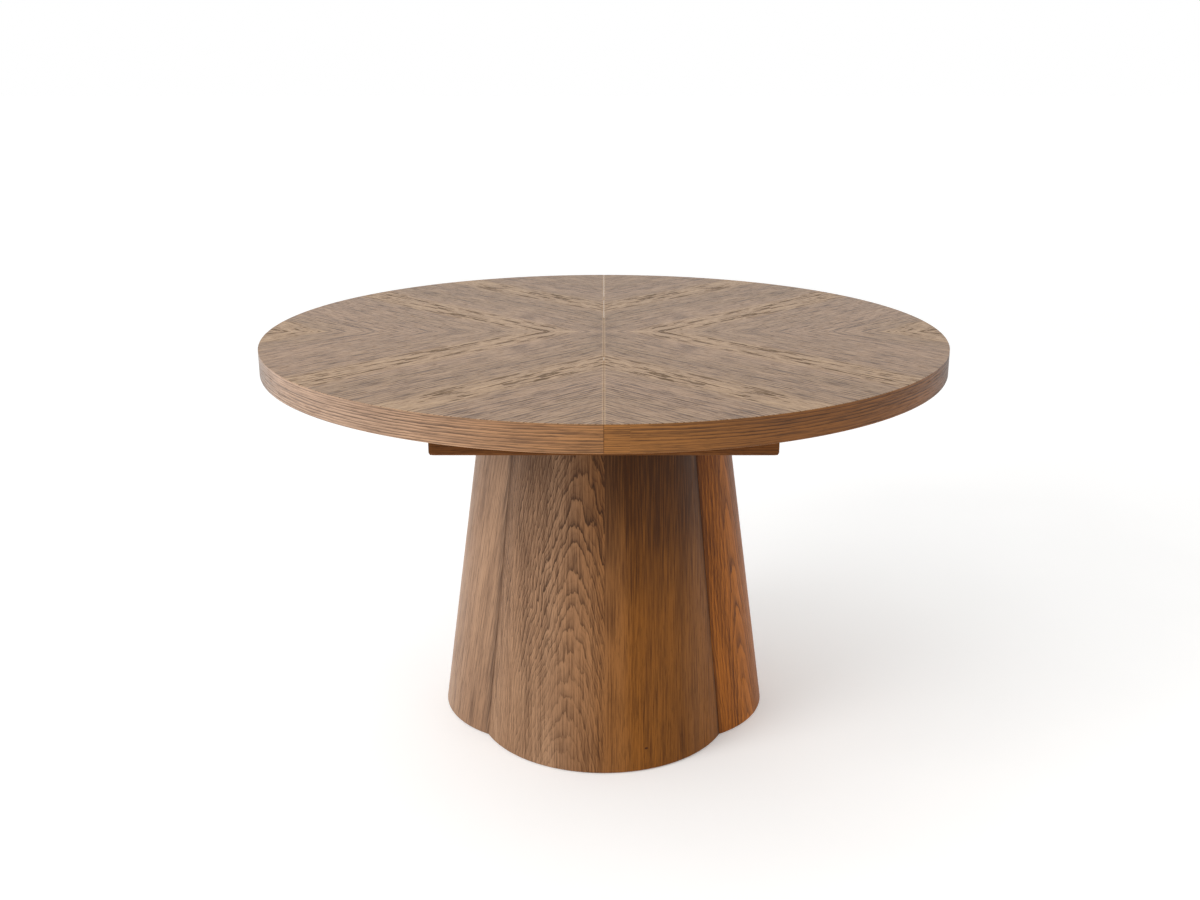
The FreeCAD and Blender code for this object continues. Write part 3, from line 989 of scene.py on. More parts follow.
# pale, greyed lobe stain with a painted sheen in its light colours
LOBE_STAIN_AND_SHEEN = Stain(srgb(164, 128, 98), srgb(96, 67, 46), srgb(38, 23, 14), srgb(130, 94, 66))
LEAF_STAIN = Stain(srgb(140, 86, 28), srgb(76, 40, 8), srgb(30, 14, 2), srgb(112, 66, 18))
WARM_STAIN = Stain(srgb(184, 110, 36), srgb(92, 48, 12), srgb(36, 17, 4), srgb(152, 86, 24))
DARK_STAIN = Stain(srgb(122, 74, 32), srgb(78, 44, 17), srgb(34, 19, 9), srgb(98, 58, 25))
BACK_STAIN = Stain(srgb(150, 116, 84), srgb(112, 82, 56), srgb(70, 48, 30), srgb(132, 100, 72))
BEECH_STAIN = Stain(
    srgb(214, 178, 132), srgb(184, 146, 102), srgb(140, 102, 66), srgb(204, 166, 120)
)

TOP_OAK = QuarteredTop(
    "oak_top", TOP_STAIN, ring=8.0 * MM, contrast=1.0, jag=0.7, fineness=0.8, fibres=4.2,
    run=17.0, lacquer=0.12, gloss=0.2,
)
RIM_OAK = RimOak(
    "oak_rim_left", RIM_STAIN_AND_SHEEN, RIM_WARM, ring=4.6 * MM, contrast=1.2, jag=0.6, fibres=2.6,
    ink=0.95, lacquer=0.35, gloss=0.35,
)
RIM_OAK_WARM = RimOak(
    "oak_rim_right", RIM_DEEP, RIM_WARM, ring=5.4 * MM, jag=0.6, fibres=2.6, ink=0.9, gloss=0.25,
    splice=38 * MM, warm_reach=0.3,
)
FRONT_OAK = LobeOak(
    "oak_lobe_arched", LOBE_STAIN_AND_SHEEN, LEAF_STAIN, ring=3.3 * MM, jag=1.0, fibres=2.6, ink=0.95,
    gloss=0.14, figure=Figure.ARCHED, spread=1.1, rise=0.085, sway=8 * MM,
)
LEFT_OAK = LobeOak("oak_lobe_plain", LOBE_STAIN_AND_SHEEN, ring=4.0 * MM, fibres=2.8)
RIGHT_OAK = LobeOak(
    "oak_lobe_wavy", WARM_STAIN, ring=4.2 * MM, jag=0.45, gloss=0.14, figure=Figure.WAVY,
    heart=-0.122, lean=0.06, rise=0.048, spread=1.8, sway=5 * MM,
)
RAIL_OAK = BarOak("dark_oak_rails", DARK_STAIN, ring=3.5 * MM, roughness=0.58, gloss=0.12)
BEARER_OAK = BarOak(
    "dark_oak_bearers", DARK_STAIN, ring=3.5 * MM, roughness=0.58, gloss=0.12, lengthwise=1
)
BACKING_OAK = BarOak(
    "oak_backing", BACK_STAIN, ring=5 * MM, contrast=0.5, roughness=0.6, lengthwise=1
)
DOWEL_BEECH = BarOak("beech", BEECH_STAIN, ring=2 * MM, contrast=0.3, roughness=0.6)
CHIP_BOARD = BoardFinish("chip_board", srgb(196, 168, 128), srgb(120, 92, 62))
PLYWOOD = PlyFinish("plywood", srgb(214, 184, 140), srgb(160, 124, 84))
ZINC = MetalFinish("zinc_plate", srgb(206, 208, 210), srgb(150, 152, 154))
STEEL = MetalFinish("ground_steel", srgb(186, 188, 192), srgb(140, 142, 146), roughness=0.26)
BRASS = MetalFinish("brass", srgb(216, 178, 98), srgb(168, 130, 64), roughness=0.3)
NYLON = NylonFinish("nylon", srgb(222, 216, 200), srgb(190, 182, 164))
GLIDE_NYLON = NylonFinish("glide_nylon", srgb(74, 68, 62), srgb(48, 44, 40))


class Stock:
    """Materials made so far, one for each finish."""

    made: dict[str, bpy.types.Material] = {}

    @classmethod
    def take(cls, finish: Finish) -> bpy.types.Material:
        """Return the finish's material, building it the first time.

        Args:
            finish: The finish wanted.

        Returns:
            The material.
        """
        if finish.name not in cls.made:
            cls.made[finish.name] = finish.make()
        return cls.made[finish.name]


# ---------------------------------------------------------------------- pieces


def slot_of(node: str) -> str:
    """Return the record's material slot of a node."""
    parts = frame["record"]["subparts"]
    return next(part["material_slot"] for part in parts if part["node"] == node)


def dress(finish: Finish, *nodes: str) -> None:
    """Give nodes that keep their shape a finish.

    Args:
        finish: The finish.
        nodes: The nodes' names.
    """
    for name in nodes:
        shown = frame["nodes"][name]
        shown.data.materials.clear()
        shown.data.materials.append(Stock.take(finish))
        LOG.info("%s keeps its shape, in %s", name, finish.name)


def settle(piece: bpy.types.Object, finish: Finish, *nodes: str) -> bpy.types.Object:
    """Put a finished piece in the place of one or more nodes.

    Args:
        piece: The finished mesh object.
        finish: Its finish.
        nodes: The nodes that it stands for, all on one body.

    Returns:
        The piece.
    """
    piece.data.materials.clear()
    piece.data.materials.append(Stock.take(finish))
    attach(piece, frame["nodes"][nodes[0]]["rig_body"])
    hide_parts(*nodes)
    slot_of(nodes[0])
    LOG.info("%s: %d faces, in %s", piece.name, len(piece.data.polygons), finish.name)
    return piece


def link(name: str, mesh: bpy.types.Mesh) -> bpy.types.Object:
    """Put a mesh in the scene as an object.

    Args:
        name: The name to give it.
        mesh: The mesh to show.

    Returns:
        The new object.
    """
    made = bpy.data.objects.new(name, mesh)
    bpy.context.scene.collection.objects.link(made)
    return made


def prism(outline: Sequence[tuple[float, float]], low: float, high: float) -> bmesh.types.BMesh:
    """Raise an outline into a closed solid.

    Args:
        outline: Corners, anticlockwise seen from above.
        low: Height of the underside.
        high: Height of the top.

    Returns:
        The solid.
    """
    solid = bmesh.new()
    under = [solid.verts.new((x, y, low)) for x, y in outline]
    over = [solid.verts.new((x, y, high)) for x, y in outline]
    solid.faces.new(list(reversed(under)))
    solid.faces.new(over)
    for index in range(len(outline)):
        after = (index + 1) % len(outline)
        solid.faces.new((under[index], under[after], over[after], over[index]))
    return solid


def block(node: str) -> bmesh.types.BMesh:
    """Return a plain block that fills a node's box.

    Args:
        node: The frame node.

    Returns:
        The solid.
    """
    low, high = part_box(node)
    corners = [(low.x, low.y), (high.x, low.y), (high.x, high.y), (low.x, high.y)]
    return prism(corners, low.z, high.z)


def ease(
    solid: bmesh.types.BMesh, width: float, chosen: Callable[[bmesh.types.BMEdge], bool]
) -> None:
    """Round over some edges of a solid.

    Args:
        solid: The solid, which is changed.
        width: How far from each edge the rounding starts.
        chosen: Tells whether an edge is rounded.
    """
    edges = [edge for edge in solid.edges if chosen(edge)]
    bmesh.ops.bevel(
        solid, geom=edges, offset=width, segments=2, profile=0.5, affect="EDGES", clamp_overlap=True
    )


def to_piece(name: str, solid: bmesh.types.BMesh) -> bpy.types.Object:
    """Turn a solid into an object that looks smooth except at its edges.

    Args:
        name: The object's name.
        solid: The solid, which is used up.

    Returns:
        The object.
    """
    mesh = bpy.data.meshes.new(name)
    solid.to_mesh(mesh)
    solid.free()
    mesh.shade_smooth()
    mesh.set_sharp_from_angle(angle=EDGE_ANGLE)
    return link(name, mesh)


def islands(node: str) -> list[tuple[Vector, Vector]]:
    """Find the separate solids of a node.

    Args:
        node: The node's name.

    Returns:
        The lowest and highest corner of each solid, in a fixed order.
    """
    solid = bmesh.new()
    solid.from_mesh(frame["nodes"][node].data)
    bmesh.ops.remove_doubles(solid, verts=solid.verts[:], dist=0.001 * MM)
    waiting = set(solid.verts)
    boxes = []
    while waiting:
        group = [waiting.pop()]
        low, high = group[0].co.copy(), group[0].co.copy()
        while group:
            vert = group.pop()
            low = Vector(map(min, low, vert.co))
            high = Vector(map(max, high, vert.co))
            for edge in vert.link_edges:
                other = edge.other_vert(vert)
                if other in waiting:
                    waiting.remove(other)
                    group.append(other)
        boxes.append((low, high))
    solid.free()
    return sorted(boxes, key=lambda box: tuple(round(c, 5) for c in box[0]))


def bake(piece: bpy.types.Object) -> None:
    """Turn a piece's live modifiers into its plain mesh.

    Args:
        piece: The piece to bake.
    """
    graph = bpy.context.evaluated_depsgraph_get()
    mesh = bpy.data.meshes.new_from_object(piece.evaluated_get(graph))
    piece.modifiers.clear()
    piece.data = mesh
    mesh.name = piece.name


class GeometryTree:
    """A Geometry Nodes tree with named inputs."""

    def __init__(self, name: str) -> None:
        """Start a tree with one geometry in and one out.

        Args:
            name: The name to give it.
        """
        self.tree = bpy.data.node_groups.new(name, "GeometryNodeTree")
        self.graph = Graph(self.tree)
        self.entry = self.graph.node("NodeGroupInput")
        self.names: dict[str, str] = {}
        for way in ("INPUT", "OUTPUT"):
            self.socket("Geometry", "Geometry", way)

    def socket(self, name: str, kind: str, way: str = "INPUT") -> None:
        """Add a socket to the tree's outside and note its identifier.

        Args:
            name: The socket's name.
            kind: Its type, as in the end of the type's name.
            way: Whether it is an input or an output.
        """
        made = self.tree.interface.new_socket(name, in_out=way, socket_type="NodeSocket" + kind)
        self.names[name] = made.identifier

    def number(self, name: str) -> Value:
        """Add a number input and return it."""
        self.socket(name, "Float")
        return Value(self.graph, self.entry.outputs[name])

    def shape(self, kind: str, inputs: dict[str, object]) -> bpy.types.NodeSocket:
        """Add a geometry node and return its geometry."""
        return self.graph.node("GeometryNode" + kind, None, inputs).outputs[0]

    def close(self, geometry: bpy.types.NodeSocket) -> None:
        """End the tree in Realize Instances and Set Material.

        Args:
            geometry: The finished shape.
        """
        self.socket("Material", "Material")
        real = self.shape("RealizeInstances", {"Geometry": geometry})
        material = self.entry.outputs["Material"]
        painted = self.shape("SetMaterial", {"Geometry": real, "Material": material})
        self.graph.node("NodeGroupOutput", None, {0: painted})

    def run(self, piece: bpy.types.Object, values: dict[str, object]) -> None:
        """Run the tree once on a piece and keep the result as a plain mesh.

        Args:
            piece: The object, whose mesh goes in and whose mesh is replaced.
            values: Each input's value by the input's name.
        """
        modifier = piece.modifiers.new(self.tree.name, "NODES")
        modifier.node_group = self.tree
        for name, value in values.items():
            modifier[self.names[name]] = value
        bake(piece)


# -------------------------------------------------------------------- fasteners


class Head(Enum):
    """Shapes of fastener heads and other small repeated pieces."""

    HEX = "hex"
    CROSS = "cross"
    PAD = "pad"


class FastenerTree(GeometryTree):
    """Places one fastener at every point, its head away from the work.

    A fastener is a stack of closed cones and cylinders. Their heights are shares of the
    head's height, and their radii shares of the head's or the shank's radius.
    """

    def __init__(self, head: Head) -> None:
        """Build the tree for one shape of head.

        Args:
            head: The kind of head.
        """
        super().__init__("fasteners_" + head.value)
        self.head_r = self.number("Head Radius")
        self.head_h = self.number("Head Height")
        self.shank_r = self.number("Shank Radius")
        self.shank_l = self.number("Shank Length")
        makers = {Head.HEX: self.hex_bolt, Head.CROSS: self.cross_screw, Head.PAD: self.pad}
        points = {"Points": self.entry.outputs[0], "Instance": makers[head]()}
        self.close(self.shape("InstanceOnPoints", points))

    def cone(
        self, sides: int, under: Number, over: Number, base: Number, height: Number
    ) -> bpy.types.NodeSocket:
        """Make a closed cone or cylinder.

        Args:
            sides: Number of sides.
            under: Radius of the lower end.
            over: Radius of the upper end.
            base: Height at which it stands.
            height: Its own height.

        Returns:
            The cone.
        """
        sizes = {"Vertices": sides, "Radius Bottom": under, "Radius Top": over, "Depth": height}
        made = self.shape("MeshCone", sizes)
        lifted = self.graph.vector(0.0, 0.0, base)
        return self.shape("Transform", {"Geometry": made, "Translation": lifted})

    def join(self, *shapes: bpy.types.NodeSocket) -> bpy.types.NodeSocket:
        """Join several meshes."""
        return self.shape("JoinGeometry", {"Geometry": list(shapes)})

    def hex_bolt(self) -> bpy.types.NodeSocket:
        """Make a hexagon head with a chamfered crown, on a washer face and a shank.

        Returns:
            The bolt.
        """
        across, face, flats = self.head_r * 0.96, self.head_h * 0.16, self.head_h * 0.66
        washer = self.cone(32, self.head_r, self.head_r, 0.0, face)
        body = self.cone(6, across, across, face, flats)
        crown = self.cone(6, across, self.head_r * 0.8, self.head_h * 0.82, self.head_h * 0.18)
        shank = self.cone(20, self.shank_r, self.shank_r, 0.0 - self.shank_l, self.shank_l)
        return self.join(washer, body, crown, shank)

    def cross_screw(self) -> bpy.types.NodeSocket:
        """Make a tapered head with a cross recess, on a shank with a point.

        Returns:
            The screw.
        """
        cut = self.cone(28, 1.0, 0.86, 0.0, 1.0)
        for size in ((1.05, 0.24, 1.2), (0.24, 1.05, 1.3)):
            bar = self.shape("MeshCube", {"Size": size})
            bar = self.shape("Transform", {"Geometry": bar, "Translation": (0.0, 0.0, 1.0)})
            cut = self.graph.node(
                "GeometryNodeMeshBoolean",
                {"operation": "DIFFERENCE"},
                {"Mesh 1": cut, "Mesh 2": bar},
            ).outputs[0]
        size = self.graph.vector(self.head_r, self.head_r, self.head_h)
        head = self.shape("Transform", {"Geometry": cut, "Scale": size})
        long, tip = self.shank_l * 0.9, self.shank_l * 0.1
        shank = self.cone(14, self.shank_r, self.shank_r, 0.0 - long, long)
        point = self.cone(14, self.shank_r * 0.15, self.shank_r, 0.0 - self.shank_l, tip)
        return self.join(head, shank, point)

    def pad(self) -> bpy.types.NodeSocket:
        """Make a round pad with an eased lower edge.

        Returns:
            The pad.
        """
        eased, rest = self.head_h * 0.4, self.head_h * 0.6
        low = self.cone(48, self.head_r * 0.94, self.head_r, 0.0, eased)
        return self.join(low, self.cone(48, self.head_r, self.head_r, eased, rest))


# radius and height of the head, then radius of the shank
PLATE_BOLT = (8 * MM, 5.5 * MM, 4 * MM)
WOOD_SCREW = (4.5 * MM, 3 * MM, 2.5 * MM)
LOCK_SCREW = (3.2 * MM, 2 * MM, 1.5 * MM)
GLIDE_PAD = (15 * MM, 2 * MM, 0.0)


@dataclass
class Fasteners:
    """One group of like fasteners set out where a node has its solids.

    A group whose heads look down is set out upside down and then turned over.
    """

    node: str
    head: Head
    finish: Finish
    head_r: float
    head_h: float
    shank_r: float
    head_up: bool = True

    def build(self) -> None:
        """Set out the fasteners and put them in the node's place."""
        boxes = islands(self.node)
        direction = 1.0 if self.head_up else -1.0
        spots = []
        for low, high in boxes:
            seat = high.z - self.head_h if self.head_up else -(low.z + self.head_h)
            spots.append(((low.x + high.x) / 2, direction * (low.y + high.y) / 2, seat))
        mesh = bpy.data.meshes.new(self.node)
        mesh.from_pydata(spots, [], [])
        piece = link("finished_" + self.node, mesh)
        height = boxes[0][1].z - boxes[0][0].z
        FastenerTree(self.head).run(piece, {
            "Head Radius": self.head_r,
            "Head Height": self.head_h,
            "Shank Radius": self.shank_r,
            "Shank Length": height - self.head_h,
            "Material": Stock.take(self.finish),
        })
        if not self.head_up:
            turned = bmesh.new()
            turned.from_mesh(piece.data)
            for vert in turned.verts:
                vert.co = Vector((vert.co.x, -vert.co.y, -vert.co.z))
            turned.to_mesh(piece.data)
            turned.free()
        settle(piece, self.finish, self.node)


# --------------------------------------------------------------------- pedestal


class LobeTree(GeometryTree):
    """Raises one lobe of the pedestal: an arc in plan that shrinks evenly as it rises.

    Six grids are laid over the lobe's two curved faces, two mitred edges and two ends.
    Every grid takes its points from the same rule, so they meet exactly and are merged.
    """

    COLUMNS = 90
    ROWS = 44
    LAYERS = 2
    MERGE = 0.02 * MM

    def __init__(self) -> None:
        """Build the tree."""
        super().__init__("pedestal_lobe")
        self.radius = self.number("Radius")
        self.offset = self.number("Offset")
        self.half_angle = self.number("Half Angle")
        self.inner_angle = self.number("Inner Half Angle")
        self.thickness = self.number("Thickness")
        self.bottom = self.number("Bottom")
        self.top = self.number("Top")
        self.apex = self.number("Apex")
        self.easing = self.number("Easing")
        self.facing = self.number("Facing")
        wide, tall, deep = self.COLUMNS, self.ROWS, self.LAYERS
        sheets = [
            self.sheet(wide, tall, lambda u, v: (u, 0.0, v), False),
            self.sheet(wide, tall, lambda u, v: (u, 1.0, v), True),
            self.sheet(deep, tall, lambda u, v: (0.0, u, v), True),
            self.sheet(deep, tall, lambda u, v: (1.0, u, v), False),
            self.sheet(wide, deep, lambda u, v: (u, v, 0.0), True),
            self.sheet(wide, deep, lambda u, v: (u, v, 1.0), False),
        ]
        joined = self.shape("JoinGeometry", {"Geometry": sheets})
        self.close(self.shape("MergeByDistance", {"Geometry": joined, "Distance": self.MERGE}))

    def sheet(
        self,
        columns: int,
        rows: int,
        spread: Callable[[Value, Value], tuple[Number, Number, Number]],
        flip: bool,
    ) -> bpy.types.NodeSocket:
        """Return one grid laid on the lobe.

        Args:
            columns: Points along the grid.
            rows: Points up the grid.
            spread: Turns the grid's two shares into shares across, through and up the lobe.
            flip: Whether the grid has to be turned to face outwards.

        Returns:
            The laid grid.
        """
        g = self.graph
        sizes = {"Size X": 1.0, "Size Y": 1.0, "Vertices X": columns, "Vertices Y": rows}
        grid = self.shape("MeshGrid", sizes)
        x, y, _ = g.parts(g.node("GeometryNodeInputPosition").outputs[0])
        place, grain = self.rule(*spread(x + 0.5, y + 0.5))
        stored = g.node(
            "GeometryNodeStoreNamedAttribute",
            {"data_type": "FLOAT_VECTOR", "domain": "POINT"},
            {"Geometry": grid, "Name": GRAIN, "Value": grain},
        )
        laid = self.shape("SetPosition", {"Geometry": stored.outputs[0], "Position": place})
        return self.shape("FlipFaces", {"Mesh": laid}) if flip else laid

    def rule(
        self, across: Number, through: Number, up: Number
    ) -> tuple[bpy.types.NodeSocket, bpy.types.NodeSocket]:
        """Return a point of the lobe and its grain coordinates from three shares.

        Args:
            across: 0 at the left crease and 1 at the right one, seen from outside.
            through: 0 on the outer face and 1 on the inner one.
            up: 0 at the foot and 1 at the top; the rows crowd towards the foot.

        Returns:
            The position and the grain coordinates.
        """
        g = self.graph
        swing = g.maths("MULTIPLY_ADD", across, 2.0, -1.0)
        crowded = swing * 1.5 - swing * swing * swing * 0.5
        height = self.bottom + (self.top - self.bottom) * g.maths("POWER", up, 2.0)
        scale = 1 - height / self.apex
        wider = (self.inner_angle - self.half_angle) * g.maths("ADD", through, 0.0)
        reach_angle = self.half_angle + wider
        angle = crowded * reach_angle
        to_edge = (1 - abs(crowded)) * self.half_angle * self.radius
        edge = (1 - to_edge / (3 * self.easing)).most(0.0)
        foot = (1 - (height - self.bottom) / (2 * self.easing)).most(0.0)
        eased = (edge * edge + foot * foot) * self.easing * g.maths("SUBTRACT", 1.0, through)
        radius = self.radius - self.thickness * g.maths("ADD", through, 0.0) - eased
        out = (self.offset + radius * angle.maths("COSINE")) * scale
        aside = radius * angle.maths("SINE") * scale
        cosine, sine = self.facing.maths("COSINE"), self.facing.maths("SINE")
        place = g.vector(out * cosine - aside * sine, out * sine + aside * cosine, height)
        grain = g.vector(height, self.radius * angle * scale, to_edge)
        return place, grain


@dataclass
class Lobe:
    """One curved shell of the pedestal."""

    node: str
    facing: float
    reach: float
    radius: float
    finish: Finish


@dataclass
class Pedestal:
    """Hollow tapered pedestal of four lobes, with its formers, posts and glides."""

    front_radius: float = 247 * MM
    side_radius: float = 210 * MM
    apex: float = 2327 * MM
    shell: float = 15 * MM
    easing: float = 0.7 * MM

    def reach(self) -> float:
        """Return how far the lobes would stand out at floor level."""
        low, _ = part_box("shell_front")
        return -low.y / (1 - low.z / self.apex)

    def crease(self, inset: float) -> tuple[float, float]:
        """Return where a front and a side arc meet, as distances from the axis.

        Args:
            inset: How far inside the outer face the arcs lie.

        Returns:
            The crease's distances from the axis towards the side and the front.
        """
        reach = self.reach()
        front_offset, side_offset = reach - self.front_radius, reach - self.side_radius
        front, side = self.front_radius - inset, self.side_radius - inset
        span = math.hypot(front_offset, side_offset)
        along = (side * side - front * front + span * span) / (2 * span)
        off = math.sqrt(side * side - along * along)
        towards_side, towards_front = -side_offset / span, front_offset / span
        x = side_offset + along * towards_side + off * towards_front
        y = along * towards_front - off * towards_side
        return x, y

    def half_angle(self, lobe: Lobe, front: bool, inset: float) -> float:
        """Work out how much of a circle a lobe's arc covers.

        Args:
            lobe: The lobe.
            front: Whether it looks to the front or back, not to a side.
            inset: How far inside the outer face the arc lies.

        Returns:
            Half the arc's angle.
        """
        x, y = self.crease(inset)
        offset = lobe.reach - lobe.radius
        aside, out = (x, y) if front else (y, x)
        return math.atan2(aside, out - offset)

    def build(self) -> None:
        """Make the four lobes and dress what is inside and under them."""
        reach = self.reach()
        lobes = [
            Lobe("shell_front", -math.pi / 2, reach, self.front_radius, FRONT_OAK),
            Lobe("shell_back", math.pi / 2, reach, self.front_radius, FRONT_OAK),
            Lobe("shell_left", math.pi, reach, self.side_radius, LEFT_OAK),
            Lobe("shell_right", 0.0, reach, self.side_radius, RIGHT_OAK),
        ]
        tree = LobeTree()
        for index, lobe in enumerate(lobes):
            low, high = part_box(lobe.node)
            piece = link(lobe.node.replace("shell", "lobe"), bpy.data.meshes.new(lobe.node))
            tree.run(piece, {
                "Radius": lobe.radius,
                "Offset": lobe.reach - lobe.radius,
                "Half Angle": self.half_angle(lobe, index < 2, 0.0),
                "Inner Half Angle": self.half_angle(lobe, index < 2, self.shell),
                "Thickness": self.shell,
                "Bottom": low.z,
                "Top": high.z,
                "Apex": self.apex,
                "Easing": self.easing,
                "Facing": lobe.facing,
                "Material": Stock.take(lobe.finish),
            })
            piece.data.shade_smooth()
            piece.data.set_sharp_from_angle(angle=LOBE_EDGE_ANGLE)
            settle(piece, lobe.finish, lobe.node)
        posts = [name for name in frame["nodes"] if name.startswith("corner_post_")]
        dress(PLYWOOD, "former_top", "former_middle", "former_bottom", *posts)
        dress(BRASS, "insert_nuts")
        dress(ZINC, "glide_nails")
        Fasteners("glides", Head.PAD, GLIDE_NYLON, *GLIDE_PAD).build()


# --------------------------------------------------------------------- platform


@dataclass
class Platform:
    """Mounting plate and bearers between the pedestal and the slides."""

    plate_bevel: float = 7 * MM
    arris: float = 1.2 * MM

    def bearer(self, node: str) -> None:
        """Make one bearer with eased edges.

        Args:
            node: The frame node.
        """
        solid = block(node)
        ease(solid, self.arris, lambda edge: True)
        settle(to_piece("finished_" + node, solid), BEARER_OAK, node)

    def plate(self) -> None:
        """Make the mounting plate, bevelled below and eased above."""
        low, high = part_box("mounting_plate")
        foot, top = low.z + self.arris, high.z - self.arris
        solid = block("mounting_plate")
        ease(solid, self.plate_bevel, lambda edge: all(v.co.z < foot for v in edge.verts))
        ease(solid, self.arris, lambda edge: all(v.co.z > top for v in edge.verts))
        settle(to_piece("finished_plate", solid), RAIL_OAK, "mounting_plate")

    def build(self) -> None:
        """Make the plate, the bearers and their fasteners."""
        self.plate()
        self.bearer("bearer_left")
        self.bearer("bearer_right")
        Fasteners("plate_bolts", Head.HEX, ZINC, *PLATE_BOLT).build()
        Fasteners("bearer_screws", Head.CROSS, ZINC, *WOOD_SCREW, head_up=False).build()


# ----------------------------------------------------------------------- slides


@dataclass
class Slides:
    """The two geared slide units under the top."""

    def build(self) -> None:
        """Dress the rails and gears and make their screws."""
        wooden, moulded = ("fixed_rail_", "rail_"), ("rack_", "pinion_front", "pinion_back")
        nodes = [name for name in frame["nodes"] if "screws" not in name]
        dress(RAIL_OAK, *(name for name in nodes if name.startswith(wooden)))
        dress(NYLON, *(name for name in nodes if name.startswith(moulded)))
        dress(STEEL, "pinion_pins")
        Fasteners("fixed_rail_screws", Head.CROSS, ZINC, *WOOD_SCREW).build()
        for side in ("left", "right"):
            Fasteners("rail_screws_" + side, Head.CROSS, ZINC, *WOOD_SCREW, head_up=False).build()


# -------------------------------------------------------------------- table top


@dataclass
class TableTop:
    """Two half-round halves: quartered veneer, bent rim, cores and seam fittings."""

    arc_steps: int = 120
    veneer_arris: float = 0.4 * MM
    rim_arris: float = 1.6 * MM
    end_arris: float = 0.5 * MM
    levels: int = 5
    grain_slant: float = 0.7
    grain_offset: float = 0.5

    def quarter(self, node: str) -> None:
        """Make one veneer quarter, eased along the seam and the rim.

        Args:
            node: The quarter's node.
        """
        low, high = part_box(node)
        right, back = high.x > -low.x, high.y > -low.y
        radius = max(-low.y, high.y)
        seam = min(abs(low.x), abs(high.x))
        start = math.asin(seam / radius)
        corners = [(seam, 0.0)]
        for step in range(self.arc_steps + 1):
            angle = (math.pi / 2 - start) * step / self.arc_steps
            corners.append((radius * math.cos(angle), radius * math.sin(angle)))
        corners = [(x if right else -x, y if back else -y) for x, y in corners]
        if right != back:
            corners.reverse()
        solid = prism(corners, low.z, high.z)

        def shows(edge: bmesh.types.BMEdge) -> bool:
            """Tell whether an edge lies on top, but not between two quarters of one half.

            Args:
                edge: The edge to judge.

            Returns:
                Whether it is on the visible outline.
            """
            on_top = all(vert.co.z > high.z - TOUCH for vert in edge.verts)
            inner = all(abs(vert.co.y) < TOUCH for vert in edge.verts)
            return on_top and not inner

        ease(solid, self.veneer_arris, shows)
        settle(to_piece(node.replace("veneer", "top"), solid), TOP_OAK, node)

    def section(self, side: str) -> list[tuple[float, float]]:
        """Draw the rim's section, with its outer lower edge rounded.

        Args:
            side: Which half of the rim.

        Returns:
            The section's corners, as distances from the axis and heights.
        """
        low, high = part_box("rim_" + side)
        radius, inner = high.y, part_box("core_" + side)[1].y
        round_r = self.rim_arris
        small = round_r * (1 - math.sqrt(0.5))
        straight = high.z - low.z - round_r
        outer = [
            (radius, low.z + round_r + straight * step / self.levels)
            for step in range(1, self.levels + 1)
        ]
        return [
            (inner, high.z),
            (inner, low.z + self.end_arris),
            (inner + self.end_arris, low.z),
            (radius - round_r, low.z),
            (radius - small, low.z + small),
            (radius, low.z + round_r),
            *outer,
        ]

    def rim(self, side: str) -> None:
        """Make one half of the rim by sweeping its section round the half circle.

        Args:
            side: Which half of the rim.
        """
        low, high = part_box("rim_" + side)
        section = self.section(side)
        radius, inner = high.y, section[0][0]
        right = side == "right"
        way, offset = (1, 0.0) if right else (-1, self.grain_offset)
        solid = bmesh.new()
        store = solid.verts.layers.float_vector.new(GRAIN)
        rings = []
        for angle, pinch in self.turns(min(abs(low.x), abs(high.x)), radius):
            ring = []
            for r, z in section:
                drawn = r - pinch if r > (inner + radius) / 2 else r + pinch
                place = (way * drawn * math.sin(angle), -drawn * math.cos(angle), z)
                vert = solid.verts.new(place)
                vert[store] = Vector((radius * angle, z + r * self.grain_slant + offset, 0.0))
                ring.append(vert)
            rings.append(ring)
        for near, far in zip(rings, rings[1:]):
            for index, corner in enumerate(near):
                after = (index + 1) % len(section)
                solid.faces.new((corner, near[after], far[after], far[index]))
        solid.faces.new(list(reversed(rings[0])))
        solid.faces.new(rings[-1])
        bmesh.ops.recalc_face_normals(solid, faces=solid.faces[:])
        settle(to_piece("band_" + side, solid), RIM_OAK_WARM if right else RIM_OAK, "rim_" + side)

    def turns(self, seam: float, radius: float) -> list[tuple[float, float]]:
        """Set out the stations at which the rim's section is drawn.

        Args:
            seam: Half the gap between the two halves.
            radius: The rim's outer radius.

        Returns:
            Angles from the front, each with how far the section is pinched there.
        """
        start = seam / radius
        first = start + self.end_arris / radius
        last = math.pi - first
        steps = 2 * self.arc_steps
        angles = [first + (last - first) * step / steps for step in range(1, steps)]
        ends = [(start, self.end_arris), (first, 0.0)]
        middle = [(angle, 0.0) for angle in angles]
        return ends + middle + [(last, 0.0), (math.pi - start, self.end_arris)]

    def build(self) -> None:
        """Make both halves and their seam fittings."""
        for side in ("left", "right"):
            for end in ("front", "back"):
                self.quarter(f"veneer_{side}_{end}")
            self.rim(side)
            Fasteners("lock_screws_" + side, Head.CROSS, ZINC, *LOCK_SCREW, head_up=False).build()
        dress(CHIP_BOARD, "core_left", "core_right")
        dress(BACKING_OAK, "backing_left", "backing_right")
        dress(DOWEL_BEECH, "seam_dowels")
        dress(ZINC, "lock_cases", "lock_keepers")
        dress(STEEL, "lock_bolt_front", "lock_bolt_back")


# ------------------------------------------------------------------------ stage


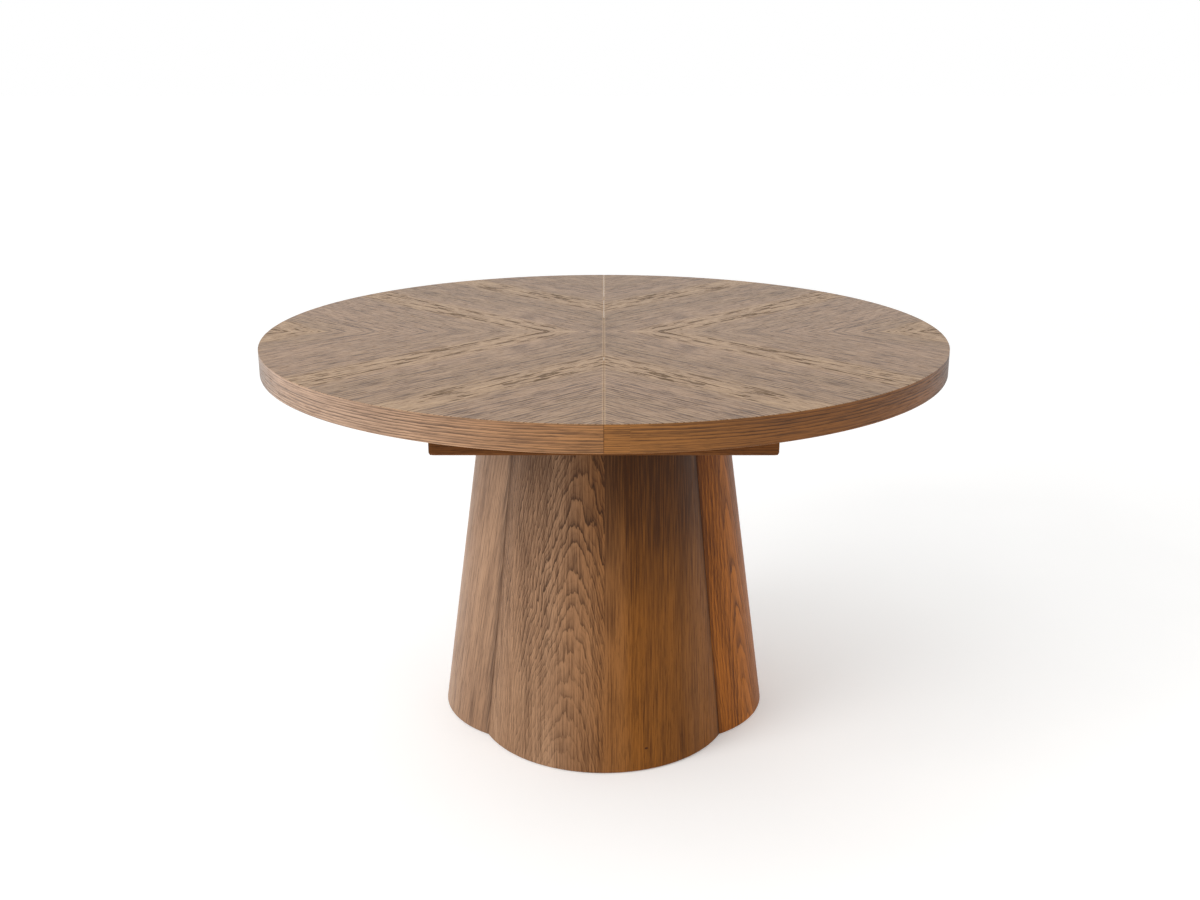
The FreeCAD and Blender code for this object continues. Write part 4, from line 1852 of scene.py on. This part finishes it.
@dataclass(frozen=True)
class Lamp:
    """One soft round lamp."""

    name: str
    place: Point
    aim: Point
    size: float
    watts: float
    colour: Point

    def hang(self) -> None:
        """Hang the lamp."""
        light = bpy.data.lights.new(self.name, "AREA")
        light.shape = "DISK"
        light.size = self.size
        light.energy = self.watts
        light.color = self.colour
        hung = bpy.data.objects.new(self.name, light)
        bpy.context.scene.collection.objects.link(hung)
        hung.location = self.place
        towards = Vector(self.aim) - Vector(self.place)
        hung.rotation_euler = towards.to_track_quat("-Z", "Y").to_euler()


@dataclass
class Studio:
    """Pale floor, soft light from the left and the camera."""

    floor_size: float = 60.0
    floor_dark: Colour = (0.865, 0.873, 0.882, 1)
    floor_light: Colour = (0.895, 0.903, 0.912, 1)
    floor_far: Colour = (1.4, 1.4, 1.4, 1)
    far_from: float = 3.0
    far_to: float = 12.0
    floor_glow: float = 0.25
    room_dark: Colour = (0.36, 0.34, 0.31, 1)
    room_light: Colour = (1.45, 1.45, 1.45, 1)
    backdrop: Colour = (1.0, 1.0, 1.0, 1)
    eye: Point = (0.0, -2.5, 1.295)
    pitch: float = math.radians(17.1)
    lens: float = 40.1
    sensor: float = 36.0
    shift: float = -0.0032
    lamps: tuple[Lamp, ...] = (
        Lamp("key", (-3.2, -2.2, 2.6), (0, 0, 0.5), 2.2, 95.0, (1.0, 0.985, 0.97)),
        Lamp("fill", (3.0, -2.6, 1.6), (0, 0, 0.4), 2.0, 22.0, (1.0, 0.95, 0.9)),
    )

    def floor(self) -> None:
        """Lay the floor, which turns to the backdrop's white far away."""
        half = self.floor_size / 2
        mesh = bpy.data.meshes.new("floor")
        corners = [(-half, -half, 0.0), (half, -half, 0.0), (half, half, 0.0), (-half, half, 0.0)]
        mesh.from_pydata(corners, [], [(0, 1, 2, 3)])
        laid = link("floor", mesh)
        made, g, shader = new_material("pale_floor")
        x, y, _ = g.place()
        tone = (g.noise(x * 3, y * 3, 0.0, 3.0) + 0.5).clamp()
        white = g.mix(tone, self.floor_dark, self.floor_light)
        far = (x * x + y * y).root().step(self.far_from, self.far_to)
        g.feed(shader.inputs["Base Color"], white)
        g.feed(shader.inputs["Emission Color"], g.mix(far, white, self.floor_far))
        shader.inputs["Emission Strength"].default_value = self.floor_glow
        shader.inputs["Roughness"].default_value = 0.9
        mesh.materials.append(made)

    def sky(self) -> None:
        """Light the room evenly, a little more from the left and from behind."""
        world = bpy.data.worlds.new("studio")
        bpy.context.scene.world = world
        world.use_nodes = True
        g = Graph(world.node_tree)
        x, y, z = g.parts(g.node("ShaderNodeTexCoord").outputs["Generated"])
        sides = ((0 - x).step(-0.2, 0.9) * 0.62).most(y.step(-0.2, 0.8) * 0.58)
        window = sides + z.step(0.1, 1.0) * 0.2
        glow = g.mix(window.clamp(), self.room_dark, self.room_light)
        seen = g.value("ShaderNodeLightPath", output="Is Camera Ray")
        background = world.node_tree.nodes["Background"]
        g.feed(background.inputs["Color"], g.mix(seen, glow, self.backdrop))
        background.inputs["Strength"].default_value = 1.0

    def camera(self) -> None:
        """Set up the camera."""
        data = bpy.data.cameras.new("camera")
        data.lens = self.lens
        data.sensor_width = self.sensor
        data.shift_x = self.shift
        eye = bpy.data.objects.new("camera", data)
        bpy.context.scene.collection.objects.link(eye)
        eye.location = self.eye
        eye.rotation_euler = (math.pi / 2 - self.pitch, 0.0, 0.0)
        bpy.context.scene.camera = eye

    def build(self) -> None:
        """Make the stage."""
        self.floor()
        self.sky()
        for lamp in self.lamps:
            lamp.hang()
        self.camera()
        bpy.context.scene.view_settings.view_transform = "Standard"


def main() -> None:
    """Build the table and its stage."""
    logging.basicConfig(level=logging.INFO, format="%(name)s: %(message)s")
    for assembly in (Studio(), Pedestal(), Platform(), Slides(), TableTop()):
        assembly.build()


if __name__ == "__main__":
    main()
